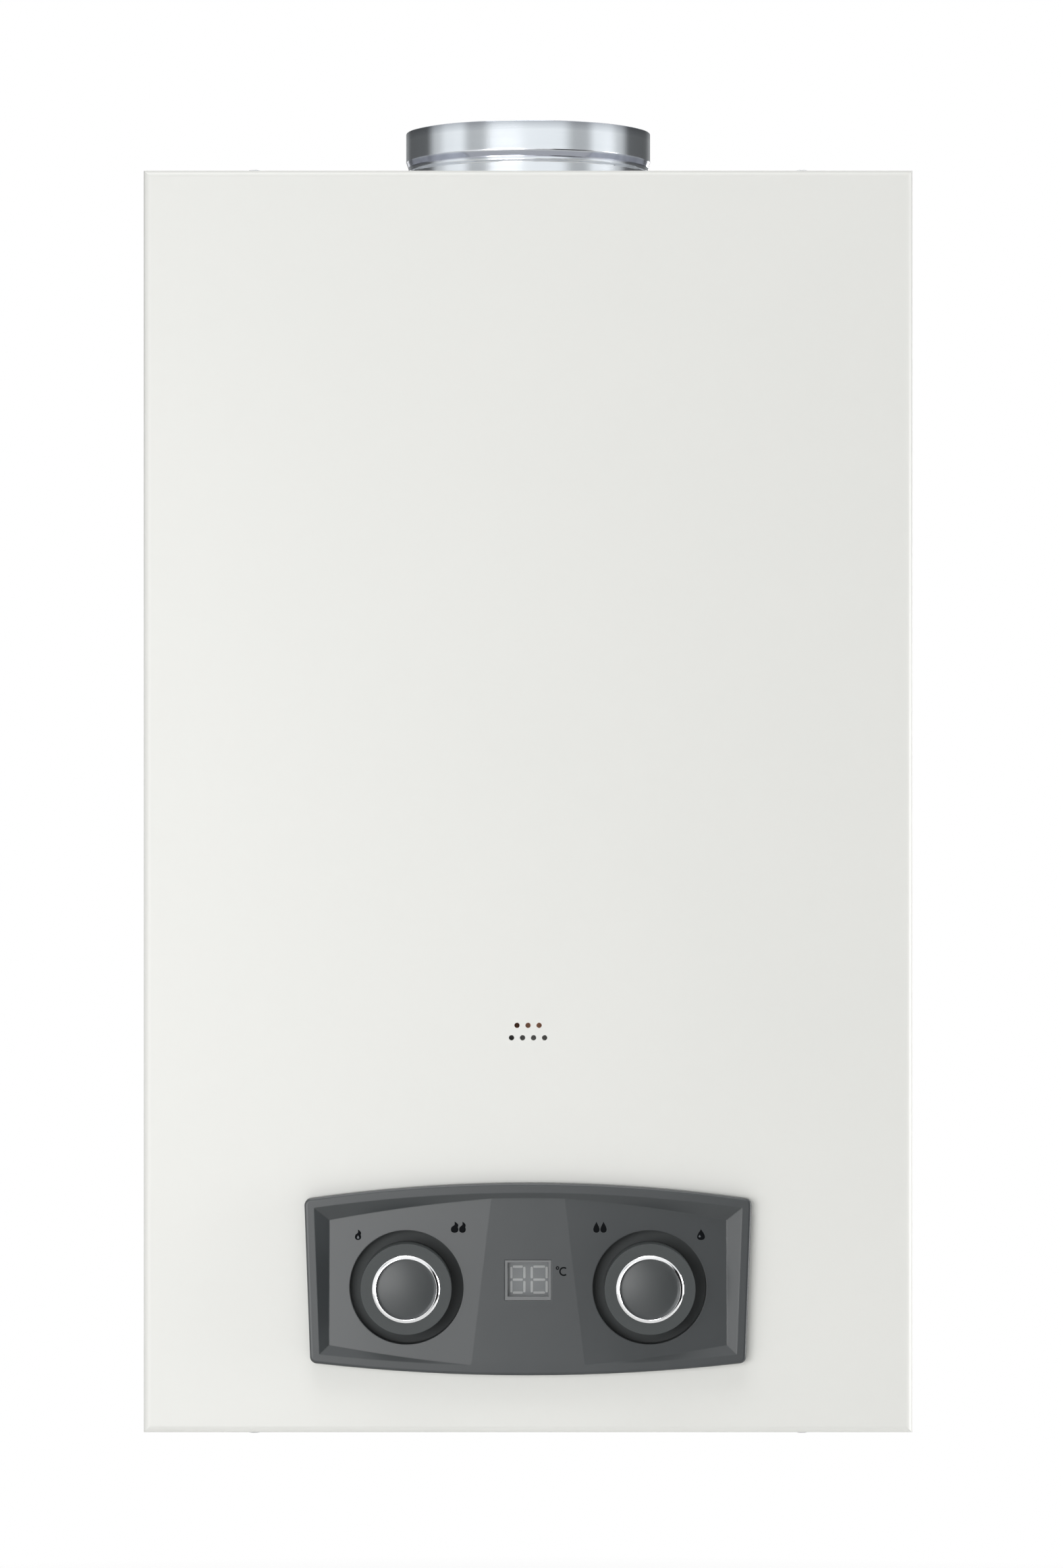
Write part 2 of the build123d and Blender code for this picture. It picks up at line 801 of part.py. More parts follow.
# Combustion chamber: a copper box open above and below, holed for tubes, electrodes and sight glass
tube_pitch = (chamber_deep - 2 * tube_margin) / (tube_passes - 1)
tube_depths = [chamber_front - tube_margin - step * tube_pitch for step in range(tube_passes)]
with BuildPart() as combustion_chamber:
    with BuildSketch(Plane.XY.offset(tray_top)):
        with Locations((0, -chamber_middle)):
            Rectangle(2 * chamber_half, chamber_deep)
            inner_deep = chamber_deep - 2 * chamber_sheet
            Rectangle(2 * (chamber_half - chamber_sheet), inner_deep, mode=Mode.SUBTRACT)
    extrude(amount=chamber_top - tray_top)
    for depth in tube_depths:
        bore((-chamber_half, -depth, tube_height), RIGHT, 2 * chamber_half, pipe_radius + braze_gap)
    for side in (-1, 1):
        place = (side * electrode_offset, -chamber_front, tray_top + electrode_rise)
        rod(place, WALL, chamber_sheet, insulator_radius + slip, Mode.SUBTRACT)
    bore((0, -chamber_front, tray_top + sight_glass_rise + sight_glass_size / 2), WALL, chamber_sheet,
        sight_glass_size / 3)
finish(combustion_chamber, "combustion_chamber")

# Exchanger fins: thin copper plates across the chamber, threaded on the tube's passes
with BuildPart() as fin:
    slab(
        (-fin_thickness / 2, -chamber_front + chamber_sheet, fin_top - fin_height),
        (fin_thickness / 2, -chamber_back - chamber_sheet, fin_top),
    )
    for depth in tube_depths:
        bore((-fin_thickness, -depth, tube_height), RIGHT, 2 * fin_thickness, pipe_radius + braze_gap)
with BuildPart() as exchanger_fins:
    with Locations(*(((step - (fin_count - 1) / 2) * fin_pitch, 0, 0) for step in range(fin_count))):
        add(fin.part)
finish(exchanger_fins, "exchanger_fins")

# Exchanger tube: one pipe that passes to and fro through the fins, from the right to the left
tube_end = chamber_half + tube_reach
with BuildPart() as exchanger_tube:
    with BuildLine() as tube_route:
        side = 1
        for step, depth in enumerate(tube_depths):
            Line((side * tube_end, -depth, tube_height), (-side * tube_end, -depth, tube_height))
            side = -side
            if step + 1 < tube_passes:
                ThreePointArc(
                    (side * tube_end, -depth, tube_height),
                    (side * (tube_end + tube_pitch / 2), -depth + tube_pitch / 2, tube_height),
                    (side * tube_end, -depth + tube_pitch, tube_height),
                )
    with BuildSketch(Plane(tube_route.line @ 0, z_dir=tube_route.line % 0)):
        Circle(pipe_radius)
        Circle(pipe_radius - pipe_wall, mode=Mode.SUBTRACT)
    sweep()
finish(exchanger_tube, "exchanger_tube")

# Cold pipe: from the water valve up behind the burner, once round the chamber and into the fins
beside = chamber_half + pipe_gap + pipe_radius
before = chamber_front + pipe_gap + pipe_radius
behind = chamber_back - pipe_gap - pipe_radius
coil_low = tray_top + coil_rise
water_front = valve_front - water_setback
water_back = water_front - water_block_depth
cold_pipe = pipe(
    [
        (water_x, -water_back, knob_height),
        (water_x, -behind, knob_height),
        (water_x, -behind, coil_low),
        (beside, -behind, coil_low),
        (beside, -before, coil_low + coil_climb),
        (-beside, -before, coil_low + 2 * coil_climb),
        (-beside, -behind, coil_low + 3 * coil_climb),
        (chamber_half + pipe_side_run, -behind, coil_low + 4 * coil_climb),
        (chamber_half + pipe_side_run, -behind, tube_height),
        (chamber_half + pipe_side_run, -tube_depths[0], tube_height),
        (tube_end, -tube_depths[0], tube_height),
    ],
    [pipe_bend] * 8 + [pipe_tight_bend],
    pipe_radius,
    pipe_wall,
)
finish(cold_pipe, "cold_pipe")

# Hot pipe: from the last pass down the left side to the outlet
hot_x = chamber_half + pipe_side_run
hot_pipe = pipe(
    [
        (-tube_end, -tube_depths[-1], tube_height),
        (-hot_x, -tube_depths[-1], tube_height),
        (-hot_x, -tube_depths[-1], tray_bottom),
        (-hot_outlet_offset, -connection_depth, hot_outlet_top + 2.5 * pipe_bend),
        (-hot_outlet_offset, -connection_depth, hot_outlet_top),
    ],
    [pipe_tight_bend, pipe_bend, pipe_bend],
    pipe_radius,
    pipe_wall,
)
finish(hot_pipe, "hot_pipe")

# Burner tray: an open steel frame under the chamber, with a hole before each blade
blade_places = [(step - (blade_count - 1) / 2) * blade_pitch for step in range(blade_count)]
nozzle_height = tray_bottom + blade_rise + manifold_size / 2
with BuildPart() as burner_tray:
    with BuildSketch(Plane.XY.offset(tray_bottom)):
        with Locations((0, -chamber_middle)):
            Rectangle(2 * chamber_half, chamber_deep)
            Rectangle(2 * (chamber_half - tray_sheet), chamber_deep - 2 * tray_sheet, mode=Mode.SUBTRACT)
    extrude(amount=tray_height)
    for x in blade_places:
        bore((x, -chamber_front, nozzle_height), WALL, tray_sheet, nozzle_radius + nozzle_room)
finish(burner_tray, "burner_tray")

# Burner blades: hollow-looking bars with a narrow neck and flame slots along the top
with BuildPart() as blade:
    with BuildSketch(facing(chamber_back + tray_sheet)):
        low = tray_bottom + blade_rise
        high = low + blade_height
        neck = high - blade_neck_height
        with BuildLine():
            Polyline(
                (-blade_width / 2, low),
                (blade_width / 2, low),
                (blade_width / 2, neck - blade_neck_height / 2),
                (blade_neck_width / 2, neck),
                (blade_neck_width / 2, high),
                (-blade_neck_width / 2, high),
                (-blade_neck_width / 2, neck),
                (-blade_width / 2, neck - blade_neck_height / 2),
                close=True,
            )
        make_face()
    extrude(amount=chamber_deep - 2 * tray_sheet)
    with BuildSketch(Plane.XY.offset(high)):
        with Locations((0, -chamber_middle)):
            with GridLocations(0, blade_slot_pitch, 1, blade_slot_count):
                Rectangle(blade_neck_width / 2, blade_slot_width)
    extrude(amount=-blade_slot_depth, mode=Mode.SUBTRACT)
    bore((0, -chamber_front + tray_sheet, nozzle_height), WALL, manifold_size, nozzle_radius + nozzle_room)
with BuildPart() as burner_blades:
    with Locations(*((x, 0, 0) for x in blade_places)):
        add(blade.part)
finish(burner_blades, "burner_blades")

# Gas manifold: a square tube in front of the tray, held by two ears, with a nozzle for each blade
manifold_back = chamber_front + manifold_reach
manifold_low = nozzle_height - manifold_size / 2
feed_depth = manifold_back + manifold_size / 2
with BuildPart() as gas_manifold:
    slab(
        (-manifold_length / 2, -manifold_back - manifold_size, manifold_low),
        (manifold_length / 2, -manifold_back, manifold_low + manifold_size),
    )
    slab(
        (-manifold_length / 2 + manifold_wall, -manifold_back - manifold_size + manifold_wall,
         manifold_low + manifold_wall),
        (manifold_length / 2 - manifold_wall, -manifold_back - manifold_wall,
         manifold_low + manifold_size - manifold_wall),
        Mode.SUBTRACT,
    )
    for side in (-1, 1):
        near, far = sorted((side * manifold_length / 2, side * (manifold_length / 2 - manifold_ear / 2)))
        slab((near, -manifold_back, manifold_low), (far, -chamber_front, manifold_low + manifold_size))
    for x in blade_places:
        bore((x, -manifold_back, nozzle_height), FRONT, manifold_wall, nozzle_bore)
    bore((gas_x, -feed_depth, manifold_low), UP, manifold_wall, gas_pipe_radius - pipe_wall)
finish(gas_manifold, "gas_manifold")

with BuildPart() as gas_nozzles:
    for x in blade_places:
        rod((x, -manifold_back, nozzle_height), WALL, manifold_reach + tray_sheet / 2, nozzle_radius)
        bore((x, -manifold_back, nozzle_height), WALL, manifold_reach + tray_sheet, nozzle_bore)
finish(gas_nozzles, "gas_nozzles")

# Gas feed pipe from the top of the gas valve forward and up into the manifold
gas_block_top = knob_height + gas_block_above
gas_block_bottom = knob_height - gas_block_below
gas_back = valve_front - gas_block_depth
feed_start = valve_front - gas_pipe_radius - block_round - valve_gap
feed_middle = (gas_block_top + manifold_low) / 2
gas_feed_pipe = pipe(
    [
        (gas_x, -feed_start, gas_block_top),
        (gas_x, -feed_start, feed_middle),
        (gas_x, -feed_depth, feed_middle),
        (gas_x, -feed_depth, manifold_low),
    ],
    [gas_pipe_bend, gas_pipe_bend],
    gas_pipe_radius,
    pipe_wall,
)
finish(gas_feed_pipe, "gas_feed_pipe")

# Gas valve body: a cast block with a chamber for the valve disc along X and a bore for the spindle
gas_left = gas_x - gas_block_width / 2
with BuildPart() as gas_valve_body:
    slab((gas_left, -valve_front, gas_block_bottom), (gas_right, -gas_back, gas_block_top))
    fillet(gas_valve_body.edges().filter_by(Axis.Z), block_round)
    chamber_length = gas_block_width - gland_length
    bore((gas_left, -rod_depth, knob_height), RIGHT, chamber_length, gas_chamber_radius)
    bore((gas_right, -rod_depth, knob_height), LEFT, gland_length, rod_radius + running_gap)
    bore((gas_x, -valve_front, knob_height), WALL, spindle_bite, spindle_radius + running_gap)
    bore((gas_x, -connection_depth, gas_block_bottom), UP, gas_block_below, thread_bore_radius)
    bore((gas_x, -feed_start, gas_block_top), DOWN, gas_block_above / 2, gas_pipe_radius - pipe_wall)
finish(gas_valve_body, "gas_valve_body")

with BuildPart() as gas_valve_end_cap:
    rod((gas_left, -rod_depth, knob_height), LEFT, end_cap_thickness, end_cap_radius)
    rod((gas_left, -rod_depth, knob_height), RIGHT, end_cap_thickness, gas_chamber_radius - running_gap)
finish(gas_valve_end_cap, "gas_valve_end_cap")

with BuildPart() as solenoid_valve:
    rod((gas_x, -gas_back, knob_height), WALL, solenoid_length, solenoid_radius)
    rod((gas_x, -gas_back, knob_height), WALL, end_cap_thickness, solenoid_radius + end_cap_thickness)
    fillet(solenoid_valve.faces().sort_by(Axis.Y)[-1].edges(), block_round)
finish(solenoid_valve, "solenoid_valve")

# Water valve body: a brass block with the lower half of the diaphragm housing on its left
water_bottom = knob_height - water_block_below
rod_axis = Axis((0, -rod_depth, knob_height), RIGHT)
screw_turns = PolarLocations(diaphragm_screw_radius, 6)
diaphragm_screw_places = [
    (turn.position.X - rod_depth, knob_height + turn.position.Y) for turn in screw_turns
]
with BuildPart() as water_valve_body:
    slab(
        (water_left, -water_front, water_bottom),
        (water_left + water_block_width, -water_back, knob_height + water_block_above),
    )
    fillet(water_valve_body.edges().filter_by(Axis.X), block_round)
    rod((diaphragm_x, -rod_depth, knob_height), RIGHT, diaphragm_flange, diaphragm_radius)
    bore((diaphragm_x, -rod_depth, knob_height), RIGHT, diaphragm_flange, diaphragm_chamber_radius / 2)
    for y, z in diaphragm_screw_places:
        bore((diaphragm_x, y, z), RIGHT, screw_reach, screw_radius)
    bore((water_x, -water_front, knob_height), WALL, spindle_bite, spindle_radius + running_gap)
    bore((water_x, -connection_depth, water_bottom), UP, water_block_below / 2, thread_bore_radius)
    bore((water_x, -drain_depth, water_bottom), UP, plug_stem_length, plug_stem_radius + running_gap)
    bore((water_x, -water_back, knob_height), FRONT, water_block_depth / 4, pipe_radius - pipe_wall)
finish(water_valve_body, "water_valve_body")

with BuildPart() as diaphragm:
    rod((diaphragm_x, -rod_depth, knob_height), LEFT, diaphragm_thickness, diaphragm_radius)
    for y, z in diaphragm_screw_places:
        bore((diaphragm_x, y, z), LEFT, diaphragm_thickness, screw_radius + screw_gap)
finish(diaphragm, "diaphragm")

cover_flange_x = diaphragm_x - diaphragm_thickness - diaphragm_flange / 2
with BuildPart() as diaphragm_cover:
    with BuildSketch(lying_plane(rod_depth, knob_height)):
        with BuildLine():
            Polyline(
                (cover_x, rod_radius + running_gap),
                (cover_x, diaphragm_chamber_radius + diaphragm_cover_wall),
                (cover_flange_x, diaphragm_chamber_radius + diaphragm_cover_wall),
                (cover_flange_x, diaphragm_radius),
                (diaphragm_x - diaphragm_thickness, diaphragm_radius),
                (diaphragm_x - diaphragm_thickness, diaphragm_chamber_radius),
                (cover_x + diaphragm_cover_wall, diaphragm_chamber_radius),
                (cover_x + diaphragm_cover_wall, rod_radius + running_gap),
                close=True,
            )
        make_face()
    revolve(axis=rod_axis)
    for y, z in diaphragm_screw_places:
        bore((cover_flange_x, y, z), RIGHT, diaphragm_flange, screw_radius + screw_gap)
finish(diaphragm_cover, "diaphragm_cover")

diaphragm_screws = screws(
    [(cover_flange_x, y, z) for y, z in diaphragm_screw_places],
    RIGHT,
    diaphragm_flange / 2 + diaphragm_thickness + screw_reach,
)
finish(diaphragm_screws, "diaphragm_screws")

# Push rod: the diaphragm's plate at its right end, a collar for the switch, the valve disc at its left
plate_x = diaphragm_x - diaphragm_thickness - slip
disc_x = gas_right - gland_length - slip
collar_x = (gas_right + cover_x) / 2 - slip
with BuildPart() as push_rod:
    rod_length = plate_x - disc_x + disc_thickness
    rod((disc_x - disc_thickness, -rod_depth, knob_height), RIGHT, rod_length, rod_radius)
    rod((plate_x, -rod_depth, knob_height), LEFT, diaphragm_plate_thickness, diaphragm_plate_radius)
    rod((collar_x, -rod_depth, knob_height), RIGHT, collar_thickness, collar_radius)
    rod((disc_x, -rod_depth, knob_height), LEFT, disc_thickness, disc_radius)
finish(push_rod, "push_rod")

# Return spring round the rod, between the gas valve and the collar
spring_length = collar_x - gas_right - 2 * spring_wire
with BuildPart() as return_spring:
    with BuildLine() as spring_route:
        Helix(
            pitch=spring_length / spring_turns,
            height=spring_length,
            radius=spring_radius,
            center=(gas_right + spring_wire, -rod_depth, knob_height),
            direction=RIGHT,
        )
    with BuildSketch(Plane(spring_route.line @ 0, z_dir=spring_route.line % 0)):
        Circle(spring_wire)
    sweep(is_frenet=True)
finish(return_spring, "return_spring")

# Microswitch on the gas valve's side, with a hinged lever that hangs beside the rod's collar
switch_low = knob_height + switch_above_rod
lever_pin_z = knob_height + lever_pin_rise
lever_x = collar_x - slip - lever_thickness / 2
switch_right = lever_x - lever_thickness / 2 - switch_gap
with BuildPart() as microswitch:
    slab(
        (gas_right, -rod_depth - switch_depth / 2, switch_low),
        (switch_right, -rod_depth + switch_depth / 2, switch_low + switch_height),
    )
    for side in (-1, 1):
        near, far = sorted((
            -rod_depth + side * (lever_width / 2 + slip),
            -rod_depth + side * (lever_width / 2 + slip + lever_ear),
        ))
        slab(
            (switch_right, near, lever_pin_z - lever_ear),
            (lever_x + lever_ear, far, lever_pin_z + lever_ear),
        )
    bore((lever_x, -rod_depth - switch_depth / 2, lever_pin_z), WALL, switch_depth,
        lever_pin_radius + running_gap)
finish(microswitch, "microswitch")

with BuildPart() as microswitch_lever:
    pin_half = lever_width / 2 + slip + lever_ear
    rod((lever_x, -rod_depth - pin_half, lever_pin_z), WALL, 2 * pin_half, lever_pin_radius)
    slab(
        (lever_x - lever_thickness / 2, -rod_depth - lever_width / 2, knob_height + lever_tip_rise),
        (lever_x + lever_thickness / 2, -rod_depth + lever_width / 2, lever_pin_z),
    )
finish(microswitch_lever, "microswitch_lever")


def make_connection(x, top):
    """A threaded pipe stub with a hexagon that seats under the bottom plate, from its mouth to its top."""
    hex_low = recess_height - hex_height
    mouth = (x, -connection_depth, hex_low - thread_length)
    length = top - hex_low + thread_length
    with BuildPart() as connection:
        rod(mouth, UP, length, thread_radius)
        with BuildSketch(Plane.XY.offset(hex_low)):
            with Locations((x, -connection_depth)):
                RegularPolygon(hex_across / 2, 6, major_radius=False)
        extrude(amount=hex_height)
        bore(mouth, UP, length, thread_bore_radius)
    return connection


finish(make_connection(gas_x, gas_block_bottom), "gas_inlet")
finish(make_connection(water_x, water_bottom), "cold_inlet")
finish(make_connection(-hot_outlet_offset, hot_outlet_top), "hot_outlet")

# Filter cup in the cold inlet, hung by its rim's friction in the bore
filter_low = recess_height - filter_length
with BuildPart() as inlet_filter:
    rod((water_x, -connection_depth, filter_low), UP, filter_length, filter_radius)
    rod((water_x, -connection_depth, filter_low), UP, filter_wall * 2, thread_bore_radius - running_gap)
    bore((water_x, -connection_depth, filter_low), UP, filter_length - filter_wall,
        filter_radius - filter_wall)
finish(inlet_filter, "inlet_filter")

# Drain plug in the water valve, with a round head under the bottom plate
plug_head_top = recess_height - plug_head_drop
with BuildPart() as drain_plug:
    rod((water_x, -drain_depth, plug_head_top), UP, water_bottom + plug_stem_length - plug_head_top - slip,
        plug_stem_radius)
    rod((water_x, -drain_depth, plug_head_top), DOWN, plug_head_height, plug_head_radius)
    with BuildSketch(Plane.XY.offset(plug_head_top - plug_head_height)):
        with Locations((water_x, -drain_depth)):
            Rectangle(3 * plug_head_radius, plug_head_radius / 3)
    extrude(amount=plug_head_height / 2, mode=Mode.SUBTRACT)
finish(drain_plug, "drain_plug")

# Battery box over its opening in the bottom plate, with two cells side by side
box_half_x = 2 * cell_radius + 1.5 * cell_gap
box_half_y = cell_radius + cell_gap
flange_half_y = box_half_y + 2 * battery_flange
cell_base = recess_height
cell_top = cell_base + cell_length
box_inner_top = cell_top + contact_room
with BuildPart() as battery_box:
    slab(
        (battery_offset - box_half_x - battery_wall, -battery_depth - box_half_y - battery_wall, plate_top),
        (battery_offset + box_half_x + battery_wall, -battery_depth + box_half_y + battery_wall,
         box_inner_top + battery_wall),
    )
    slab(
        (battery_offset - box_half_x - battery_flange, -battery_depth - flange_half_y, plate_top),
        (battery_offset + box_half_x + battery_flange, -battery_depth + flange_half_y,
         plate_top + battery_wall),
    )
    slab(
        (battery_offset - box_half_x, -battery_depth - box_half_y, plate_top),
        (battery_offset + box_half_x, -battery_depth + box_half_y, box_inner_top),
        Mode.SUBTRACT,
    )
finish(battery_box, "battery_box")

cell_places = [battery_offset + side * (cell_radius + cell_gap / 2) for side in (-1, 1)]
with BuildPart() as batteries:
    for x in cell_places:
        rod((x, -battery_depth, cell_base), UP, cell_length, cell_radius)
        rod((x, -battery_depth, cell_top), UP, cell_nub_height, cell_nub_radius)
finish(batteries, "batteries")

with BuildPart() as battery_contacts:
    for x in cell_places:
        slab(
            (x - contact_size / 2, -battery_depth - contact_size / 2, box_inner_top - contact_thickness),
            (x + contact_size / 2, -battery_depth + contact_size / 2, box_inner_top),
        )
        rod((x, -battery_depth, cell_top + cell_nub_height), UP,
            contact_room - cell_nub_height - contact_thickness, cell_nub_radius)
finish(battery_contacts, "battery_contacts")

# Battery door under the opening, hinged at the back on a pin between two lugs
door_top = recess_height - slip
door_back = hinge_depth + knuckle_radius / 2
door_front = battery_depth + box_half_y + door_overlap
with BuildPart() as battery_door:
    slab(
        (battery_offset - door_half, -door_front, door_top - door_thickness),
        (battery_offset + door_half, -door_back, door_top),
    )
    rod((battery_offset - door_half, -hinge_depth, hinge_height), RIGHT, 2 * door_half, knuckle_radius)
    bore((battery_offset - door_half, -hinge_depth, hinge_height), RIGHT, 2 * door_half,
        door_pin_radius + running_gap)
finish(battery_door, "battery_door")

with BuildPart() as door_pin:
    pin_reach = door_half + slip + hinge_lug
    rod((battery_offset - pin_reach, -hinge_depth, hinge_height), RIGHT, 2 * pin_reach, door_pin_radius)
finish(door_pin, "door_pin")

# Ignition control box on the back plate, right of the burner
control_low = tray_top - control_box_drop
with BuildPart() as control_box:
    slab(
        (control_box_offset - control_box_width / 2, -chassis_sheet - control_box_depth, control_low),
        (control_box_offset + control_box_width / 2, -chassis_sheet, control_low + control_box_height),
    )
    fillet(control_box.edges().filter_by(Axis.Y), control_box_round)
finish(control_box, "control_box")

# Spark and flame-sensing electrodes through the chamber's front: ceramic sleeves on metal rods
with BuildPart() as electrode_insulators:
    for side in (-1, 1):
        place = (side * electrode_offset, -chamber_front + insulator_inside, tray_top + electrode_rise)
        rod(place, FRONT, insulator_length, insulator_radius)
        rod(place, FRONT, insulator_length, electrode_radius, Mode.SUBTRACT)
finish(electrode_insulators, "electrode_insulators")

with BuildPart() as electrode_rods:
    for side in (-1, 1):
        place = (side * electrode_offset, -chamber_front + electrode_reach, tray_top + electrode_rise)
        rod(place, FRONT, electrode_reach - insulator_inside + insulator_length, electrode_radius)
finish(electrode_rods, "electrode_rods")

# Mica sight glass over the chamber's round window
with BuildPart() as sight_glass:
    slab(
        (-sight_glass_size / 2, -chamber_front - sight_glass_thickness, tray_top + sight_glass_rise),
        (sight_glass_size / 2, -chamber_front, tray_top + sight_glass_rise + sight_glass_size),
    )
finish(sight_glass, "sight_glass")

# Overheat switch on the chamber's left wall, and the temperature sensor clipped round the hot pipe
with BuildPart() as overheat_switch:
    rod((-chamber_half, -chamber_middle, tray_top + overheat_rise), LEFT, overheat_length, overheat_radius)
finish(overheat_switch, "overheat_switch")

with BuildPart() as temperature_sensor:
    place = (-hot_x, -tube_depths[-1], sensor_height)
    rod(place, UP, sensor_length, pipe_radius + slip + sensor_wall)
    rod(place, UP, sensor_length, pipe_radius + slip, Mode.SUBTRACT)
finish(temperature_sensor, "temperature_sensor")

# Brackets from the back plate to the tray and the chamber, two of each
bracket_levels = (tray_top - bracket_drop, tray_top + bracket_rise)
with BuildPart() as mounting_brackets:
    for x in (-bracket_offset, bracket_offset):
        for level in bracket_levels:
            left = x - bracket_width / 2
            right = x + bracket_width / 2
            slab((left, -chamber_back, level), (right, -chassis_sheet, level + bracket_sheet))
            slab((left, -chassis_sheet - bracket_sheet, level), (right, -chassis_sheet, level + bracket_tab))
            slab((left, -chamber_back, level), (right, -chamber_back + bracket_sheet, level + bracket_tab))
finish(mounting_brackets, "mounting_brackets")

# Screws of the cover, the collar and the panel
with BuildPart() as cover_screws:
    for x in cover_screw_x:
        for seat_z, inward, outward in ((casing_height, DOWN, UP), (0, UP, DOWN)):
            rod((x, cover_screw_y, seat_z), inward, screw_reach, screw_radius)
            rod((x, cover_screw_y, seat_z), outward, screw_head_height, screw_head_radius)
finish(cover_screws, "cover_screws")

finish(screws(collar_screw_places, DOWN, screw_reach), "collar_screws")
finish(screws(panel_screw_places, FRONT, cover_sheet + panel_screw_bite), "panel_screws")
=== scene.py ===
import json

import bmesh
import bpy
import numpy as np
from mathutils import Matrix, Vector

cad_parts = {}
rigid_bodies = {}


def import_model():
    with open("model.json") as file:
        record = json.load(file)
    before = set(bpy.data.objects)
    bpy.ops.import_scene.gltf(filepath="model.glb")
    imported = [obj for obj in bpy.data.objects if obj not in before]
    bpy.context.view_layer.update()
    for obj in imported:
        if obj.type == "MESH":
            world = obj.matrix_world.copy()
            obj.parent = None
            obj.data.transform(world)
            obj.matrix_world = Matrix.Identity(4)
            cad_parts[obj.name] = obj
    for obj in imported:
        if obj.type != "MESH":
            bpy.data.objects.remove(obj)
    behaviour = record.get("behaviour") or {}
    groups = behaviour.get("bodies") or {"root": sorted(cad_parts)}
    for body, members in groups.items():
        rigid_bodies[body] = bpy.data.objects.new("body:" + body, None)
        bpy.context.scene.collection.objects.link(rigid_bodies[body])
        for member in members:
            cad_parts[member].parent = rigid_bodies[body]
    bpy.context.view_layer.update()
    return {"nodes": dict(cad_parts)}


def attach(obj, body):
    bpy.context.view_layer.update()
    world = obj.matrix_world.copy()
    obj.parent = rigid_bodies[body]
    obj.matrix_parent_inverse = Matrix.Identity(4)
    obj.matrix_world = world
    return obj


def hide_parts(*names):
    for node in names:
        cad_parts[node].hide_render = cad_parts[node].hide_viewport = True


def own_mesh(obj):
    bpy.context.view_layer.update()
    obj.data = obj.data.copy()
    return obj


for leftover in list(bpy.data.objects):
    bpy.data.objects.remove(leftover)
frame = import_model()

# Chassis: back plate, top plate, recessed bottom plate, brackets, draft hood and exhaust cone.
# Real ones are hot-dip galvanised steel sheet, cut, folded and spot-welded; the zinc shows flat
# crystals a few millimetres across that differ a little in brightness.


def fill(tree, socket, value):
    """Link an input to a source, or set its plain value."""
    if isinstance(value, bpy.types.NodeSocket):
        tree.links.new(value, socket)
    else:
        socket.default_value = value


def feed(tree, node, **inputs):
    """Fill a node's inputs by label; a low line in a label stands for a space."""
    for label, value in inputs.items():
        fill(tree, node.inputs[label.replace("_", " ")], value)


def add(tree, kind, inputs=None, **settings):
    """Add one node, set its properties and fill its inputs."""
    made = tree.nodes.new(kind)
    for key, value in settings.items():
        setattr(made, key, value)
    for key, value in (inputs or {}).items():
        fill(tree, made.inputs[key], value)
    return made


def effect(name, inputs, outputs):
    """A shader node group with named sockets; returns its tree, its entry's outputs and its exit node."""
    tree = bpy.data.node_groups.new(name, "ShaderNodeTree")
    for label, kind, value in inputs:
        socket = tree.interface.new_socket(label, in_out="INPUT", socket_type="NodeSocket" + kind)
        socket.default_value = value
    for label, kind in outputs:
        tree.interface.new_socket(label, in_out="OUTPUT", socket_type="NodeSocket" + kind)
    return tree, tree.nodes.new("NodeGroupInput").outputs, tree.nodes.new("NodeGroupOutput")


def place_on(tree):
    """The place on the piece, in metres."""
    return add(tree, "ShaderNodeTexCoord").outputs["Object"]


def reckon(tree, operation, *values):
    """One sum on up to three values, each a number or a socket."""
    return add(tree, "ShaderNodeMath", dict(enumerate(values)), operation=operation).outputs[0]


def mottle(tree, place, scale, detail, **more):
    """Smooth random mottling over a place; returns the node's outputs."""
    made = add(tree, "ShaderNodeTexNoise", {"Vector": place, "Scale": scale, "Detail": detail})
    feed(tree, made, **more)
    return made.outputs


def relief(tree, height, strength, distance, normal=None):
    """A normal that follows a height; where one is given, it starts from another normal."""
    made = add(tree, "ShaderNodeBump", {"Height": height, "Strength": strength, "Distance": distance})
    if normal is not None:
        tree.links.new(normal, made.inputs["Normal"])
    return made.outputs[0]


def ranged(tree, value, low, high, start=0.0, end=1.0):
    """Carry a value from the range of start and end to that of low and high, held at both ends."""
    inputs = {"Value": value, "From Min": start, "From Max": end, "To Min": low, "To Max": high}
    return add(tree, "ShaderNodeMapRange", inputs).outputs["Result"]


def between(tree, mask, first, second):
    """Mix two colours by a mask, each three numbers or a socket. A Mix node keeps its two colours in
    inputs 6 and 7, and the mixed one in output 2."""
    made = add(tree, "ShaderNodeMix", {"Factor": mask}, data_type="RGBA")
    for socket, colour in ((made.inputs[6], first), (made.inputs[7], second)):
        fill(tree, socket, colour if isinstance(colour, bpy.types.NodeSocket) else (*colour, 1.0))
    return made.outputs[2]


def coating(name, roughness, **values):
    """A material with one Principled shader and its plain values; returns material, tree and shader. The
    plain roughness is for a viewer that can't follow the nodes."""
    made = bpy.data.materials.new(name)
    made.use_nodes = True
    tree = made.node_tree
    shader = tree.nodes["Principled BSDF"]
    feed(tree, shader, Roughness=roughness, **values)
    return made, tree, shader


def use(tree, group, **inputs):
    """Place an effect in a material with its own values; returns its outputs."""
    made = add(tree, "ShaderNodeGroup", node_tree=group)
    feed(tree, made, **inputs)
    return made.outputs


def dress(material, *names):
    """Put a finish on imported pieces, in the slot that each already has."""
    for name in names:
        for slot in frame["nodes"][name].material_slots:
            slot.material = material


